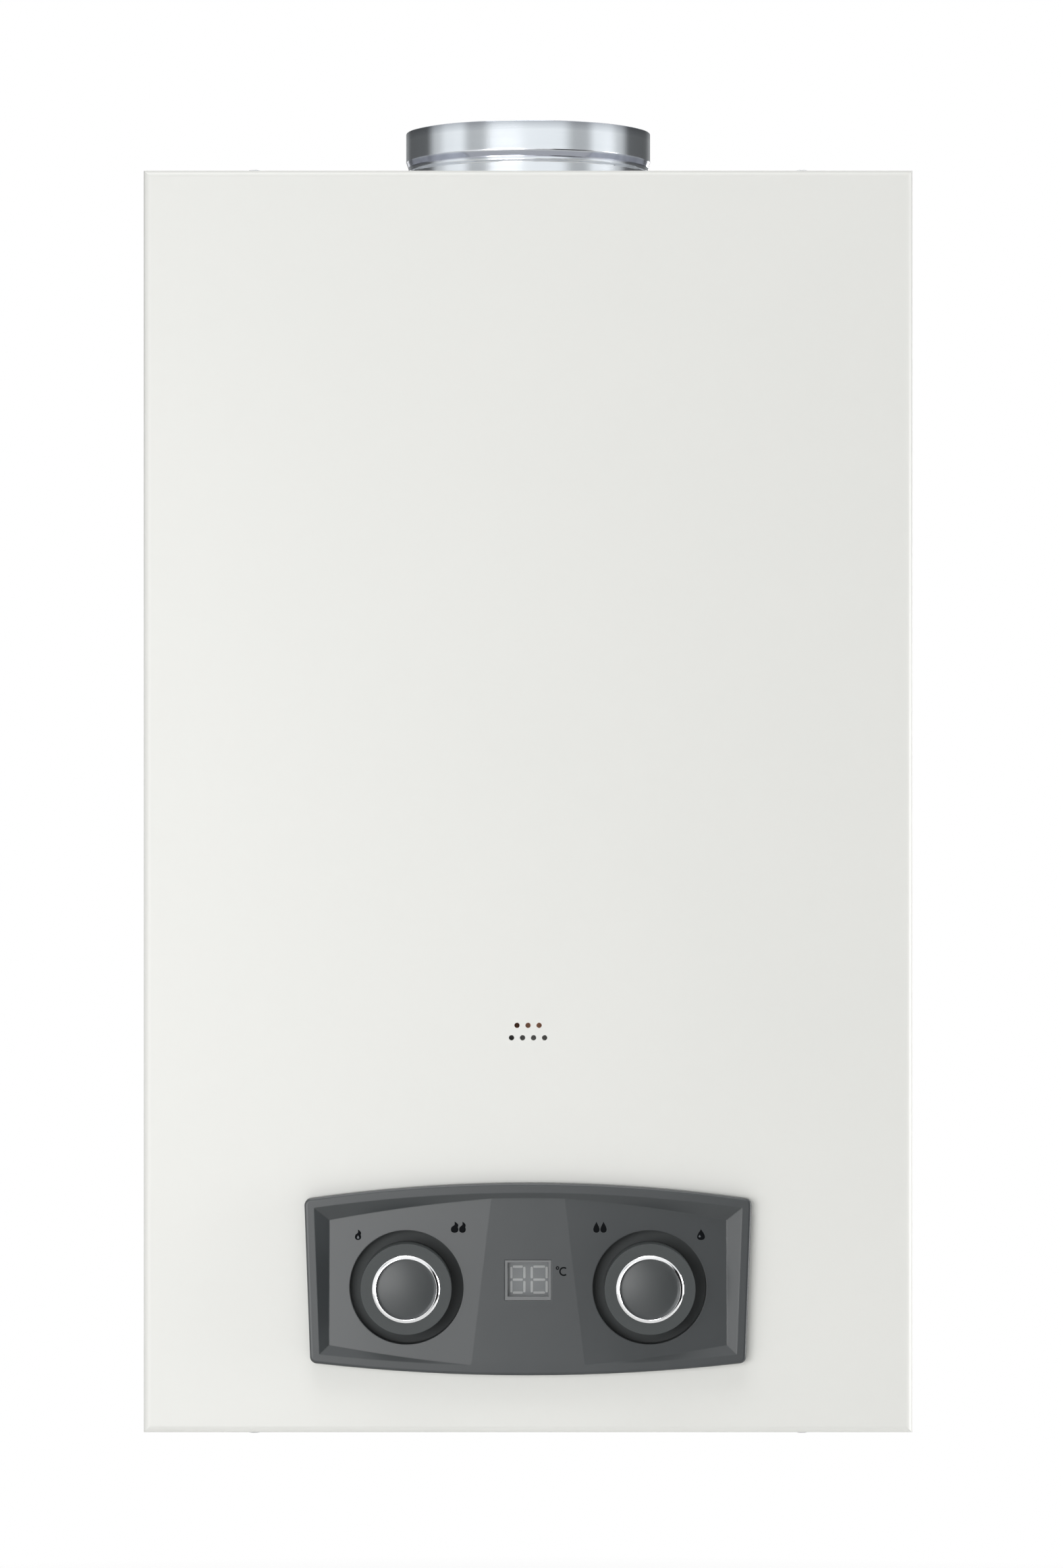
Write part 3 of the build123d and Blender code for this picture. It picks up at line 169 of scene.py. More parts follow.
# Zinc crystals: cells of one brightness each, with their borders pushed about by mottling
zinc_crystals, entry, out = effect(
    "zinc_crystals", [("Size", "Float", 0.008)],
    [("Crystal", "Float"), ("Gloss", "Float"), ("Height", "Float")]
)
place = place_on(zinc_crystals)
stir = mottle(zinc_crystals, place, scale=160.0, detail=3.0)["Color"]
border_push = (0.004, 0.004, 0.004)
pushed = add(zinc_crystals, "ShaderNodeVectorMath", {0: stir, 1: border_push, 2: place},
             operation="MULTIPLY_ADD").outputs[0]
fineness = reckon(zinc_crystals, "DIVIDE", 1.0, entry["Size"])
cells = add(zinc_crystals, "ShaderNodeTexVoronoi", {"Vector": pushed, "Scale": fineness})
tone = add(zinc_crystals, "ShaderNodeSeparateColor", {"Color": cells.outputs["Color"]}).outputs
feathers = mottle(zinc_crystals, place, scale=1400.0, detail=4.0)["Fac"]
feather_share = 0.45
feathered = reckon(zinc_crystals, "MULTIPLY_ADD", feathers, feather_share, tone[0])
feed(zinc_crystals, out,
     Crystal=ranged(zinc_crystals, feathered, 0.0, 1.0, start=0.15, end=1.3), Gloss=tone[1], Height=feathers)

# Rounded edges: a normal that runs softly over every sharp edge, and a mask of where those edges are
rounded_edges, entry, out = effect(
    "rounded_edges", [("Radius", "Float", 0.0005)], [("Normal", "Vector"), ("Edge", "Float")]
)
soft = add(rounded_edges, "ShaderNodeBevel", {"Radius": entry["Radius"]}, samples=4).outputs[0]
sharp = add(rounded_edges, "ShaderNodeNewGeometry").outputs["Normal"]
agree = add(rounded_edges, "ShaderNodeVectorMath", {0: soft, 1: sharp},
            operation="DOT_PRODUCT").outputs["Value"]
feed(rounded_edges, out, Normal=soft, Edge=ranged(rounded_edges, agree, 1.0, 0.0, start=0.8, end=0.99))

galvanised_sheet, tree, shader = coating("galvanised_sheet", 0.4, Metallic=1.0)
zinc = use(tree, zinc_crystals, Size=0.006)
edges = use(tree, rounded_edges, Radius=0.0004)
zinc_colour = between(tree, zinc["Crystal"], (0.54, 0.56, 0.58), (0.66, 0.68, 0.70))
feed(tree, shader,
     Base_Color=between(tree, edges["Edge"], zinc_colour, (0.74, 0.75, 0.76)),
     Roughness=ranged(tree, zinc["Gloss"], 0.30, 0.46),
     Normal=relief(tree, zinc["Height"], strength=0.15, distance=0.0002, normal=edges["Normal"]))
dress(galvanised_sheet, "back_plate", "top_plate", "bottom_plate", "mounting_brackets", "draft_hood",
      "exhaust_cone")

# Heat exchanger: combustion chamber, fins, the tube through them and the two water pipes. Real ones
# are copper, brazed together; the sheet is drawn dull and heat stains it in brown patches.
heat_stain, entry, out = effect(
    "heat_stain", [("Size", "Float", 0.03)], [("Stain", "Float"), ("Speck", "Float")]
)
place = place_on(heat_stain)
fineness = reckon(heat_stain, "DIVIDE", 1.0, entry["Size"])
patches = mottle(heat_stain, place, scale=fineness, detail=5.0, Roughness=0.6, Distortion=0.6)["Fac"]
feed(heat_stain, out,
     Stain=ranged(heat_stain, patches, 0.0, 1.0, start=0.42, end=0.68),
     Speck=mottle(heat_stain, place, scale=900.0, detail=2.0)["Fac"])

brazed_copper, tree, shader = coating("brazed_copper", 0.35, Metallic=1.0)
stain = use(tree, heat_stain, Size=0.035)
edges = use(tree, rounded_edges, Radius=0.0003)
bright = between(tree, stain["Speck"], (0.70, 0.34, 0.21), (0.82, 0.44, 0.29))
stained = between(tree, stain["Stain"], bright, (0.42, 0.20, 0.13))
feed(tree, shader,
     Base_Color=between(tree, edges["Edge"], stained, (0.88, 0.52, 0.36)),
     Roughness=ranged(tree, stain["Stain"], 0.26, 0.48),
     Normal=relief(tree, stain["Speck"], strength=0.2, distance=0.0001, normal=edges["Normal"]))
dress(brazed_copper, "combustion_chamber", "exchanger_fins", "exchanger_tube", "cold_pipe", "hot_pipe")

# Burner and small stainless pieces: tray, blades, electrode rods, push rod, spring, switch lever,
# filter cup and hinge pin. Real ones are rolled or drawn stainless steel with fine parallel lines.
drawn_lines, entry, out = effect(
    "drawn_lines", [("Stretch", "Vector", (1.0, 1.0, 1.0))], [("Line", "Float"), ("Band", "Float")]
)
stretched = add(drawn_lines, "ShaderNodeVectorMath", {0: place_on(drawn_lines), 1: entry["Stretch"]},
                operation="MULTIPLY").outputs[0]
feed(drawn_lines, out,
     Line=mottle(drawn_lines, stretched, scale=1.0, detail=3.0)["Fac"],
     Band=mottle(drawn_lines, stretched, scale=0.12, detail=1.0)["Fac"])

rolled_stainless, tree, shader = coating("rolled_stainless", 0.3, Metallic=1.0)
rolled = use(tree, drawn_lines, Stretch=(40.0, 2200.0, 2200.0))
edges = use(tree, rounded_edges, Radius=0.0003)
steel = between(tree, rolled["Band"], (0.52, 0.51, 0.49), (0.64, 0.63, 0.61))
feed(tree, shader,
     Base_Color=between(tree, edges["Edge"], steel, (0.76, 0.75, 0.73)),
     Roughness=ranged(tree, rolled["Line"], 0.22, 0.40),
     Normal=relief(tree, rolled["Line"], strength=0.3, distance=0.00003, normal=edges["Normal"]))
dress(rolled_stainless, "burner_tray", "burner_blades", "electrode_rods", "push_rod", "return_spring",
      "microswitch_lever", "inlet_filter", "door_pin")

# Gas line: manifold, feed pipe, valve body and its end cap. Real ones are die-cast aluminium with a
# sandy skin that shines only where edges are rubbed.
cast_skin, entry, out = effect(
    "cast_skin",
    [("Size", "Float", 0.0008), ("Depth", "Float", 0.00005), ("Normal", "Vector", (0.0, 0.0, 0.0))],
    [("Normal", "Vector"), ("Grain", "Float"), ("Cloud", "Float")]
)
place = place_on(cast_skin)
fineness = reckon(cast_skin, "DIVIDE", 1.0, entry["Size"])
sand = mottle(cast_skin, place, scale=fineness, detail=4.0)["Fac"]
feed(cast_skin, out,
     Normal=relief(cast_skin, sand, strength=1.0, distance=entry["Depth"], normal=entry["Normal"]),
     Grain=sand,
     Cloud=mottle(cast_skin, place, scale=60.0, detail=3.0)["Fac"])


def cast_finish(tree, shader, cast, colour, gloss):
    """Feed a shader from the cast skin: a colour, a roughness that goes with the grain, and the bumps."""
    feed(tree, shader, Base_Color=colour, Roughness=ranged(tree, cast["Grain"], *gloss),
         Normal=cast["Normal"])


cast_aluminium, tree, shader = coating("cast_aluminium", 0.5, Metallic=1.0)
edges = use(tree, rounded_edges, Radius=0.0006)
cast = use(tree, cast_skin, Size=0.0009, Depth=0.00006, Normal=edges["Normal"])
skin_colour = between(tree, cast["Cloud"], (0.48, 0.49, 0.50), (0.60, 0.61, 0.62))
rubbed = between(tree, edges["Edge"], skin_colour, (0.74, 0.75, 0.76))
cast_finish(tree, shader, cast, rubbed, gloss=(0.42, 0.60))
dress(cast_aluminium, "gas_manifold", "gas_feed_pipe", "gas_valve_body", "gas_valve_end_cap")

# Water valve and other brass pieces: valve body, diaphragm cover, spindles, nozzles, drain plug,
# contacts and sensor clip. Real ones are forged or turned brass, dulled on flats, bright on edges.
forged_brass, tree, shader = coating("forged_brass", 0.34, Metallic=1.0)
edges = use(tree, rounded_edges, Radius=0.0005)
cast = use(tree, cast_skin, Size=0.0007, Depth=0.00003, Normal=edges["Normal"])
brass_colour = between(tree, cast["Cloud"], (0.60, 0.44, 0.21), (0.74, 0.57, 0.29))
rubbed = between(tree, edges["Edge"], brass_colour, (0.86, 0.70, 0.40))
cast_finish(tree, shader, cast, rubbed, gloss=(0.26, 0.44))
dress(forged_brass, "water_valve_body", "diaphragm_cover", "gas_spindle", "water_spindle", "gas_nozzles",
      "drain_plug", "battery_contacts", "temperature_sensor", "gas_inlet", "cold_inlet", "hot_outlet")

# Connections: gas inlet, cold inlet and hot outlet under the bottom plate. Real ones are turned from
# hexagon brass bar with a half-inch pipe thread below, and screwed up against the plate. Each inlet
# stands under its valve. Lengths of the new pieces are in millimetres.
millimetre = 0.001
merge_distance = 0.000002
sharp_angle = 35.0
thread_radius = 10.48
thread_depth = 1.16
thread_pitch = 1.814
rings_a_pitch = 10
connection_bore = 7.0
mouth_chamfer = 0.6
mouth_height = 3.0
relief_height = 20.4
hex_low = 22.0
hex_high = 30.0
hex_half = 13.5
hex_chamfer = 0.8
cone_start = 0.5
cone_slope = 1.9
connection_depth = 78.0
valve_across = 52.8
outlet_across = 125.0


def solid_of_rings(name, grid, material, body, loop=False):
    """A mesh over points in millimetres, by copy, row and column: each row is a closed ring joined to the
    next by quads, the last row joins the first where it is a loop, and rings of no size become poles."""
    copies, rows, columns = grid.shape[:3]
    here = np.arange(copies * rows * columns).reshape(copies, rows, columns)
    beside = np.roll(here, -1, axis=2)
    quads = np.stack([here, beside, np.roll(beside, -1, axis=1), np.roll(here, -1, axis=1)], axis=-1)
    if not loop:
        quads = quads[:, :-1]
    mesh = bpy.data.meshes.new(name)
    mesh.from_pydata((grid.reshape(-1, 3) * millimetre).tolist(), [], quads.reshape(-1, 4).tolist())
    work = bmesh.new()
    work.from_mesh(mesh)
    bmesh.ops.remove_doubles(work, verts=work.verts, dist=merge_distance)
    bmesh.ops.recalc_face_normals(work, faces=work.faces)
    work.to_mesh(mesh)
    work.free()
    mesh.shade_smooth()
    mesh.set_sharp_from_angle(angle=np.radians(sharp_angle))
    mesh.materials.append(material)
    piece = bpy.data.objects.new(name, mesh)
    bpy.context.scene.collection.objects.link(piece)
    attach(piece, body)
    return piece


def threaded_connection(name, x, top):
    """Rings round an upright axis. In the thread the radius is the outer one less a cosine wave that climbs
    one pitch a turn; in the hexagon it is the half width over the cosine of the angle from each flat's
    middle, cut by a cone at both ends; the rest is round, and the bore closes the loop."""
    turn = np.linspace(0.0, 2 * np.pi, 72, endpoint=False)
    even = np.ones(len(turn))
    thread_rise = np.arange(mouth_height, relief_height, thread_pitch / rings_a_pitch)
    wave = 0.5 - 0.5 * np.cos(2 * np.pi * thread_rise[:, None] / thread_pitch - turn)
    lead_in = np.clip((thread_rise - mouth_height) / thread_pitch, 0.0, 1.0)[:, None]
    thread = thread_radius - thread_depth * np.maximum(wave, 1.0 - lead_in)
    core = thread_radius - thread_depth
    core_rise = [relief_height, hex_low]
    hex_rise = np.array([hex_low, hex_low + hex_chamfer, hex_high - hex_chamfer, hex_high])
    flat = hex_half / np.cos(np.mod(turn, np.pi / 3) - np.pi / 6)
    cone = hex_half + cone_start + cone_slope * np.minimum(hex_rise - hex_low, hex_high - hex_rise)
    hexagon = np.minimum(flat, cone[:, None])
    neck_rise = [hex_high, top]
    bore_rise = [top, mouth_height + mouth_chamfer, mouth_height]
    bore = [connection_bore, connection_bore, connection_bore + mouth_chamfer]
    rise = np.concatenate([thread_rise, core_rise, hex_rise, neck_rise, bore_rise])[:, None]
    radius = np.concatenate([thread, np.outer([core, core], even), hexagon,
                             np.outer([thread_radius, thread_radius], even), np.outer(bore, even)])
    across = x + radius * np.cos(turn)
    inward = radius * np.sin(turn) - connection_depth
    grid = np.stack(np.broadcast_arrays(across, inward, rise), axis=-1)
    piece = solid_of_rings(name + "_threaded", grid[None], forged_brass, "casing", loop=True)
    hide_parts(name)


threaded_connection("gas_inlet", -valve_across, top=39.8)
threaded_connection("cold_inlet", valve_across, top=41.8)
threaded_connection("hot_outlet", -outlet_across, top=45.0)

# Diaphragm: a disc of black rubber, pressed in a mould with a fine matt grain. It is clamped between the
# water valve and its cover.
moulded_rubber, tree, shader = coating("moulded_rubber", 0.7, Specular_IOR_Level=0.3)
cast = use(tree, cast_skin, Size=0.0006, Depth=0.00004)
rubber = between(tree, cast["Cloud"], (0.016, 0.016, 0.017), (0.030, 0.030, 0.031))
cast_finish(tree, shader, cast, rubber, gloss=(0.60, 0.80))
dress(moulded_rubber, "diaphragm")

# Return spring: hard steel wire wound in six open turns round the push rod, between the gas valve and the
# rod's collar. It bears on the valve, and the real one shortens as the collar slides towards it; this coil
# keeps one length.
valve_height = 63.8
spring_foot = (-24.8, -86.0, valve_height)
spring_length = 17.0
spring_radius = 4.2
spring_wire = 0.5
spring_turns = 6
rings_a_turn = 24


def wound_wire():
    """Rings of wire square to a helix: each ring's middle goes round the rod's axis at one radius and along
    it in proportion; the wire's two directions are the way out from the axis, and the cross product of
    that with the helix's tangent. The first and last rings have no size and close the ends."""
    share = np.linspace(0.0, 1.0, rings_a_turn * spring_turns + 1)
    share = np.concatenate([share[:1], share, share[-1:]])
    size = np.full(len(share), spring_wire)
    size[[0, -1]] = 0.0
    angle = 2 * np.pi * spring_turns * share
    cosine = np.cos(angle)
    sine = np.sin(angle)
    still = np.zeros_like(angle)
    outward = np.stack([still, cosine, sine], axis=-1)
    advance = (spring_length - 2 * spring_wire) / (2 * np.pi * spring_turns)
    tangent = np.stack([still + advance, -spring_radius * sine, spring_radius * cosine], axis=-1)
    tangent /= np.linalg.norm(tangent, axis=-1, keepdims=True)
    aside = np.cross(tangent, outward)
    middle = np.array(spring_foot) + spring_radius * outward
    middle[:, 0] += spring_wire + advance * angle
    turn = np.linspace(0.0, 2 * np.pi, 12, endpoint=False)[:, None]
    ring = outward[:, None] * np.cos(turn) + aside[:, None] * np.sin(turn)
    return middle[:, None] + size[:, None, None] * ring


spring_coil = solid_of_rings("return_spring_coil", wound_wire()[None], rolled_stainless,
                             "casing")
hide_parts("return_spring")
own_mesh(spring_coil)

# Black plastic pieces: battery box and door, solenoid, microswitch, ignition box and overheat switch.
# Real ones are glass-filled nylon with a fine spark-eroded grain and slightly worn edges.
black_nylon, tree, shader = coating("black_nylon", 0.5, Specular_IOR_Level=0.4)
edges = use(tree, rounded_edges, Radius=0.0004)
cast = use(tree, cast_skin, Size=0.0004, Depth=0.00002, Normal=edges["Normal"])
nylon = between(tree, cast["Cloud"], (0.018, 0.018, 0.019), (0.028, 0.028, 0.029))
worn = between(tree, edges["Edge"], nylon, (0.055, 0.055, 0.056))
cast_finish(tree, shader, cast, worn, gloss=(0.44, 0.58))
dress(black_nylon, "battery_box", "battery_door", "solenoid_valve", "microswitch", "control_box",
      "overheat_switch")

# Grip ribs: six half-round bars of the same nylon, moulded along the front of the battery door's
# underside. A rib's radius falls to nothing at its two ends along a steep rounded curve.
rib_count = 6
rib_pitch = 2.4
rib_radius = 0.6
rib_half = 17.0
rib_front = -115.0
rib_end_power = 20
door_under = 27.3
door_middle = 124.0
along = np.linspace(-1.0, 1.0, 25)[:, None]
rib_turn = np.linspace(0.0, 2 * np.pi, 16, endpoint=False)
swollen = rib_radius * np.clip(1.0 - along ** rib_end_power, 0.0, 1.0) ** 0.5
rib_place = (rib_front + rib_pitch * np.arange(rib_count))[:, None, None]
ribs = np.stack(np.broadcast_arrays(
    door_middle + rib_half * along, rib_place + swollen * np.cos(rib_turn),
    door_under + swollen * np.sin(rib_turn)
), axis=-1)
solid_of_rings("battery_door_ribs", ribs, black_nylon, "battery_door_set")

# Battery cells: two zinc-carbon cells in printed steel jackets, bare at both ends. The print is black
# with a gilt band above.
jacket_foot = 0.0325
band_foot = 0.0785
jacket_top = 0.0870
print_blur = 0.0003


def place_parts(tree):
    """The place on the piece as three parts: across, inward and up, named X, Y and Z."""
    return add(tree, "ShaderNodeSeparateXYZ", {0: place_on(tree)}).outputs


cell_jacket, tree, shader = coating("cell_jacket", 0.3, Metallic=0.7)
cast = use(tree, cast_skin, Size=0.002, Depth=0.00001)
height = place_parts(tree)["Z"]
above_foot = ranged(tree, height, 0.0, 1.0, jacket_foot, jacket_foot + print_blur)
below_band = ranged(tree, height, 1.0, 0.0, band_foot, band_foot + print_blur)
below_top = ranged(tree, height, 1.0, 0.0, jacket_top, jacket_top + print_blur)
tin = between(tree, cast["Cloud"], (0.62, 0.62, 0.61), (0.72, 0.72, 0.71))
gilt = between(tree, cast["Cloud"], (0.62, 0.42, 0.22), (0.70, 0.50, 0.28))
upper = between(tree, below_top, tin, gilt)
lower = between(tree, below_band, upper, (0.030, 0.034, 0.040))
cast_finish(tree, shader, cast, between(tree, above_foot, tin, lower), gloss=(0.24, 0.36))
dress(cell_jacket, "batteries")

# Ignition pieces on the chamber: ceramic sleeves round the electrodes, glazed and fired, and a sight
# window split from a block of mica, which heat stains brown.
glazed_ceramic, tree, shader = coating("glazed_ceramic", 0.25, Coat_Weight=0.5, Coat_Roughness=0.05)
cast = use(tree, cast_skin, Size=0.001, Depth=0.00001)
glaze = between(tree, cast["Cloud"], (0.74, 0.71, 0.65), (0.82, 0.80, 0.75))
cast_finish(tree, shader, cast, glaze, gloss=(0.18, 0.34))
dress(glazed_ceramic, "electrode_insulators")

split_mica, tree, shader = coating("split_mica", 0.2, Alpha=0.6)
stain = use(tree, heat_stain, Size=0.008)
feed(tree, shader,
     Base_Color=between(tree, stain["Stain"], (0.62, 0.50, 0.32), (0.44, 0.32, 0.18)),
     Roughness=ranged(tree, stain["Speck"], 0.12, 0.30))
dress(split_mica, "sight_glass")

# Front cover: one folded steel sheet, coated with baked white enamel that has a very fine orange
# peel and a faint warm tint. It slides over the chassis and is held by four screws.
enamel_peel, entry, out = effect(
    "enamel_peel", [("Size", "Float", 0.0014), ("Depth", "Float", 0.00001)],
    [("Normal", "Vector"), ("Flow", "Float")]
)
place = place_on(enamel_peel)
fineness = reckon(enamel_peel, "DIVIDE", 1.0, entry["Size"])
peel = mottle(enamel_peel, place, scale=fineness, detail=1.5, Roughness=0.4)["Fac"]
feed(enamel_peel, out,
     Normal=relief(enamel_peel, peel, strength=1.0, distance=entry["Depth"]),
     Flow=mottle(enamel_peel, place, scale=9.0, detail=3.0)["Fac"])

white_enamel, tree, shader = coating("baked_white_enamel", 0.36, Specular_IOR_Level=0.5)
coat = use(tree, enamel_peel, Size=0.0016, Depth=0.000012)
feed(tree, shader,
     Base_Color=between(tree, coat["Flow"], (0.765, 0.770, 0.740), (0.789, 0.789, 0.759)),
     Roughness=ranged(tree, coat["Flow"], 0.33, 0.40),
     Normal=coat["Normal"])
dress(white_enamel, "front_cover")

# Flue collar: a ring spun from bright aluminium, polished, with fine turning lines round it; its rim is
# greyer, the flange that it stands on keeps its dull mill finish, and its step carries a painted shade: a
# darker blue-grey band for the dim reflection in its groove. Four screws hold it.
# Each height below is where one tone starts to go over to the next, and where it has.
flange_top = (0.5512, 0.5524)
step_foot = (0.5590, 0.5600)
step_top = (0.5618, 0.5628)
rim = (0.5715, 0.5755)
bright_aluminium, tree, shader = coating("polished_aluminium", 0.13, Metallic=1.0)
spun = use(tree, drawn_lines, Stretch=(3.0, 3.0, 2600.0))
height = place_parts(tree)["Z"]
polished = ranged(tree, height, 0.0, 1.0, *flange_top)
# Painted shade: a band over the step, mixed below to a darker blue-grey, for the dim reflection in its groove
step_painted_shade = reckon(tree, "MULTIPLY", ranged(tree, height, 0.0, 1.0, *step_foot),
                 ranged(tree, height, 1.0, 0.0, *step_top))
bright = between(tree, spun["Band"], (0.76, 0.79, 0.83), (0.84, 0.86, 0.89))
# The step's painted shade
bright = between(tree, step_painted_shade, bright, (0.50, 0.52, 0.60))
bright = between(tree, ranged(tree, height, 0.0, 1.0, *rim), bright, (0.46, 0.48, 0.52))
line_gloss = ranged(tree, spun["Line"], 0.10, 0.17)
dulled = ranged(tree, polished, 0.35, 0.0)
feed(tree, shader,
     Base_Color=between(tree, polished, (0.36, 0.37, 0.39), bright),
     Roughness=reckon(tree, "ADD", line_gloss, dulled),
     Normal=relief(tree, spun["Line"], strength=0.5, distance=0.00001))
dress(bright_aluminium, "flue_collar")

# Screws of the cover, the collar, the panel and the diaphragm: zinc-plated pan heads with a cross recess.
# The outer eight show, so they are drawn whole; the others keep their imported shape.
plated_steel, tree, shader = coating("plated_steel", 0.26, Metallic=1.0)
stain = use(tree, heat_stain, Size=0.004)
feed(tree, shader,
     Base_Color=between(tree, stain["Stain"], (0.68, 0.69, 0.70), (0.56, 0.58, 0.60)),
     Roughness=ranged(tree, stain["Speck"], 0.20, 0.36))
dress(plated_steel, "panel_screws", "diaphragm_screws", "cover_screws", "collar_screws")
head_radius = 3.6
head_height = 2.0
head_fall = 0.55
head_wall = 0.5
shank_radius = 1.6
shank_reach = 5.0
shank_point = 0.8
arm_half = 0.62
arm_slope = 0.2
arm_reach = 2.1
arm_run_out = 0.7
arm_depth = 1.2
casing_height = 550.0
cover_screw_across = 120.0
cover_screw_depth = 152.0
collar_depth = 85.0
collar_ring = 59.0 / np.sqrt(2.0)


def cross_arm(along, aside):
    """Share of the full depth in one arm of the cross: whole along its middle, and easing off in straight
    slopes at its two sides and its two ends."""
    sides = np.clip((arm_half - np.abs(aside)) / arm_slope, 0.0, 1.0)
    return sides * np.clip((arm_reach - np.abs(along)) / arm_run_out, 0.0, 1.0)


def pan_screws(name, seats, ups):
    """Rings from the middle of the head outwards and down to the shank's tip. The head's top is a dome that
    falls with the fourth power of the way out, less the depth of the deeper arm of the cross."""
    turn = np.linspace(0.0, 2 * np.pi, 80, endpoint=False)
    share = np.linspace(0.0, 1.0, 26)[:, None]
    x = head_radius * share * np.cos(turn)
    y = head_radius * share * np.sin(turn)
    dome = head_height * (1.0 - head_fall * share ** 4)
    dome = dome - arm_depth * np.maximum(cross_arm(x, y), cross_arm(y, x))
    side_radius = np.array([head_radius, head_radius, shank_radius, shank_radius, 0.0])[:, None]
    side_height = np.array([head_wall, 0.0, 0.0, shank_point - shank_reach, -shank_reach])
    across = np.concatenate([x, side_radius * np.cos(turn)])
    inward = np.concatenate([y, side_radius * np.sin(turn)])
    rise = np.concatenate([dome, np.outer(side_height, np.ones(len(turn)))])
    seat = np.array(seats)[:, None, None, :]
    up = np.array(ups)[:, None, None]
    grid = np.stack([seat[..., 0] + across, seat[..., 1] + up * inward, seat[..., 2] + up * rise], axis=-1)
    piece = solid_of_rings(name + "_cross_head", grid, plated_steel, "casing")
    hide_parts(name)


pan_screws("cover_screws",
           [(side * cover_screw_across, -cover_screw_depth, height)
            for height in (casing_height, 0.0) for side in (-1, 1)],
           [1.0, 1.0, -1.0, -1.0])
pan_screws("collar_screws",
           [(side * collar_ring, end * collar_ring - collar_depth, casing_height)
            for side in (-1, 1) for end in (-1, 1)],
           [1.0, 1.0, 1.0, 1.0])

# Control panel: a grey moulded plate over the cover's cut-out, with a fine spark-eroded grain and
# a satin sheen; four screws hold it from behind. Its two wells, one round each knob, are duller.
moulded_grain, entry, out = effect(
    "moulded_grain",
    [("Size", "Float", 0.0004), ("Depth", "Float", 0.00001), ("Normal", "Vector", (0.0, 0.0, 0.0))],
    [("Normal", "Vector"), ("Sheen", "Float")]
)
place = place_on(moulded_grain)
fineness = reckon(moulded_grain, "DIVIDE", 1.0, entry["Size"])
grain = mottle(moulded_grain, place, scale=fineness, detail=2.0)["Fac"]
feed(moulded_grain, out,
     Normal=relief(moulded_grain, grain, strength=1.0, distance=entry["Depth"], normal=entry["Normal"]),
     Sheen=mottle(moulded_grain, place, scale=45.0, detail=3.0)["Fac"])

well_axis = (millimetre * valve_across, millimetre * valve_height, 0.0)
well_edge = (0.0247, 0.0249)
panel_grey, tree, shader = coating("moulded_panel_grey", 0.3, Specular_IOR_Level=0.5)
edges = use(tree, rounded_edges, Radius=0.0006)
mould = use(tree, moulded_grain, Size=0.00045, Depth=0.000005, Normal=edges["Normal"])
place = place_parts(tree)
facing = add(tree, "ShaderNodeCombineXYZ", {"X": reckon(tree, "ABSOLUTE", place["X"]), "Y": place["Z"]})
from_axis = add(tree, "ShaderNodeVectorMath", {0: facing.outputs[0], 1: well_axis}, operation="DISTANCE")
within = ranged(tree, from_axis.outputs["Value"], 1.0, 0.0, *well_edge)
body = between(tree, mould["Sheen"], (0.045, 0.050, 0.053), (0.051, 0.056, 0.059))
body = between(tree, edges["Edge"], body, (0.065, 0.070, 0.070))
gloss = ranged(tree, mould["Sheen"], 0.27, 0.32)
dulled = ranged(tree, within, 0.0, 0.40)
feed(tree, shader,
     Base_Color=between(tree, within, body, (0.047, 0.052, 0.053)),
     Roughness=reckon(tree, "ADD", gloss, dulled),
     Normal=mould["Normal"])
dress(panel_grey, "control_panel")

# Panel signs: small flame, two flames, two drops and one drop, and the degree sign beside the display.
# They are printed on the panel in black ink, with a pale spot low in the single ones.
print_lift = 0.05
print_sink = 0.05
drop_power = 1.6
flame_sway = 0.24
oval_power = 0.25
crest_foot = np.array([24.5, -176.0, 31.1])
crest_top = np.array([16.0, -174.8, 102.1])
outer_end = np.array([86.55, -173.3, valve_height])
mirrored = np.array([-1.0, 1.0, 1.0])
outline_turn = np.linspace(0.0, 2 * np.pi, 40, endpoint=False)


def two_toned(name, roughness, tones, gloss, **values):
    """A smooth finish whose colour and roughness go between two values each with the moulded sheen."""
    made, tree, shader = coating(name, roughness, **values)
    sheen = use(tree, moulded_grain)["Sheen"]
    feed(tree, shader, Base_Color=between(tree, sheen, *tones), Roughness=ranged(tree, sheen, *gloss))
    return made


def plane_depth(corners):
    """Depth over a plane through three points, as a function of place across and height."""
    corners = np.array(corners)
    level = np.linalg.solve(np.column_stack([corners[:, 0], corners[:, 2], np.ones(3)]), corners[:, 1])
    return lambda x, z: level[0] * x + level[1] * z + level[2]


def drop(width, height):
    """A drop's outline, tip up: height goes as the cosine of the turn, and width as its sine times a
    power of the half turn's sine, so that it is nothing at the tip and full below the middle."""
    across = np.sin(outline_turn) * np.sin(outline_turn / 2) ** drop_power
    return np.stack([across * width / (2 * across.max()), np.cos(outline_turn) * height / 2], axis=-1)


def flame(width, height):
    """A drop's outline whose upper part sways to one side, as a sine of the height."""
    shape = drop(width, height)
    sway = np.sin(2 * np.pi * shape[:, 1] / height) * (shape[:, 1] > 0)
    shape[:, 0] += flame_sway * width * sway
    return shape


def bar(width, height):
    """A bar's outline: the eighth-power oval, which is a rectangle with rounded corners."""
    around = np.stack([np.cos(outline_turn), np.sin(outline_turn)], axis=-1)
    return np.sign(around) * np.abs(around) ** oval_power * (width / 2, height / 2)


def thin_plate(outlines, centres, depth, lift=print_lift):
    """Points of flat plates on a floor: four rings each, from the middle below to the edge below, the edge
    above and the middle above."""
    outlines = np.array(outlines)[:, None]
    centres = np.array(centres)[:, None, None]
    share = np.array([0.0, 1.0, 1.0, 0.0])[:, None, None]
    flat = centres + share * outlines
    raised = np.array([-print_sink, -print_sink, lift, lift])[:, None]
    return np.stack([flat[..., 0], depth(flat[..., 0], flat[..., 1]) - raised, flat[..., 1]], axis=-1)


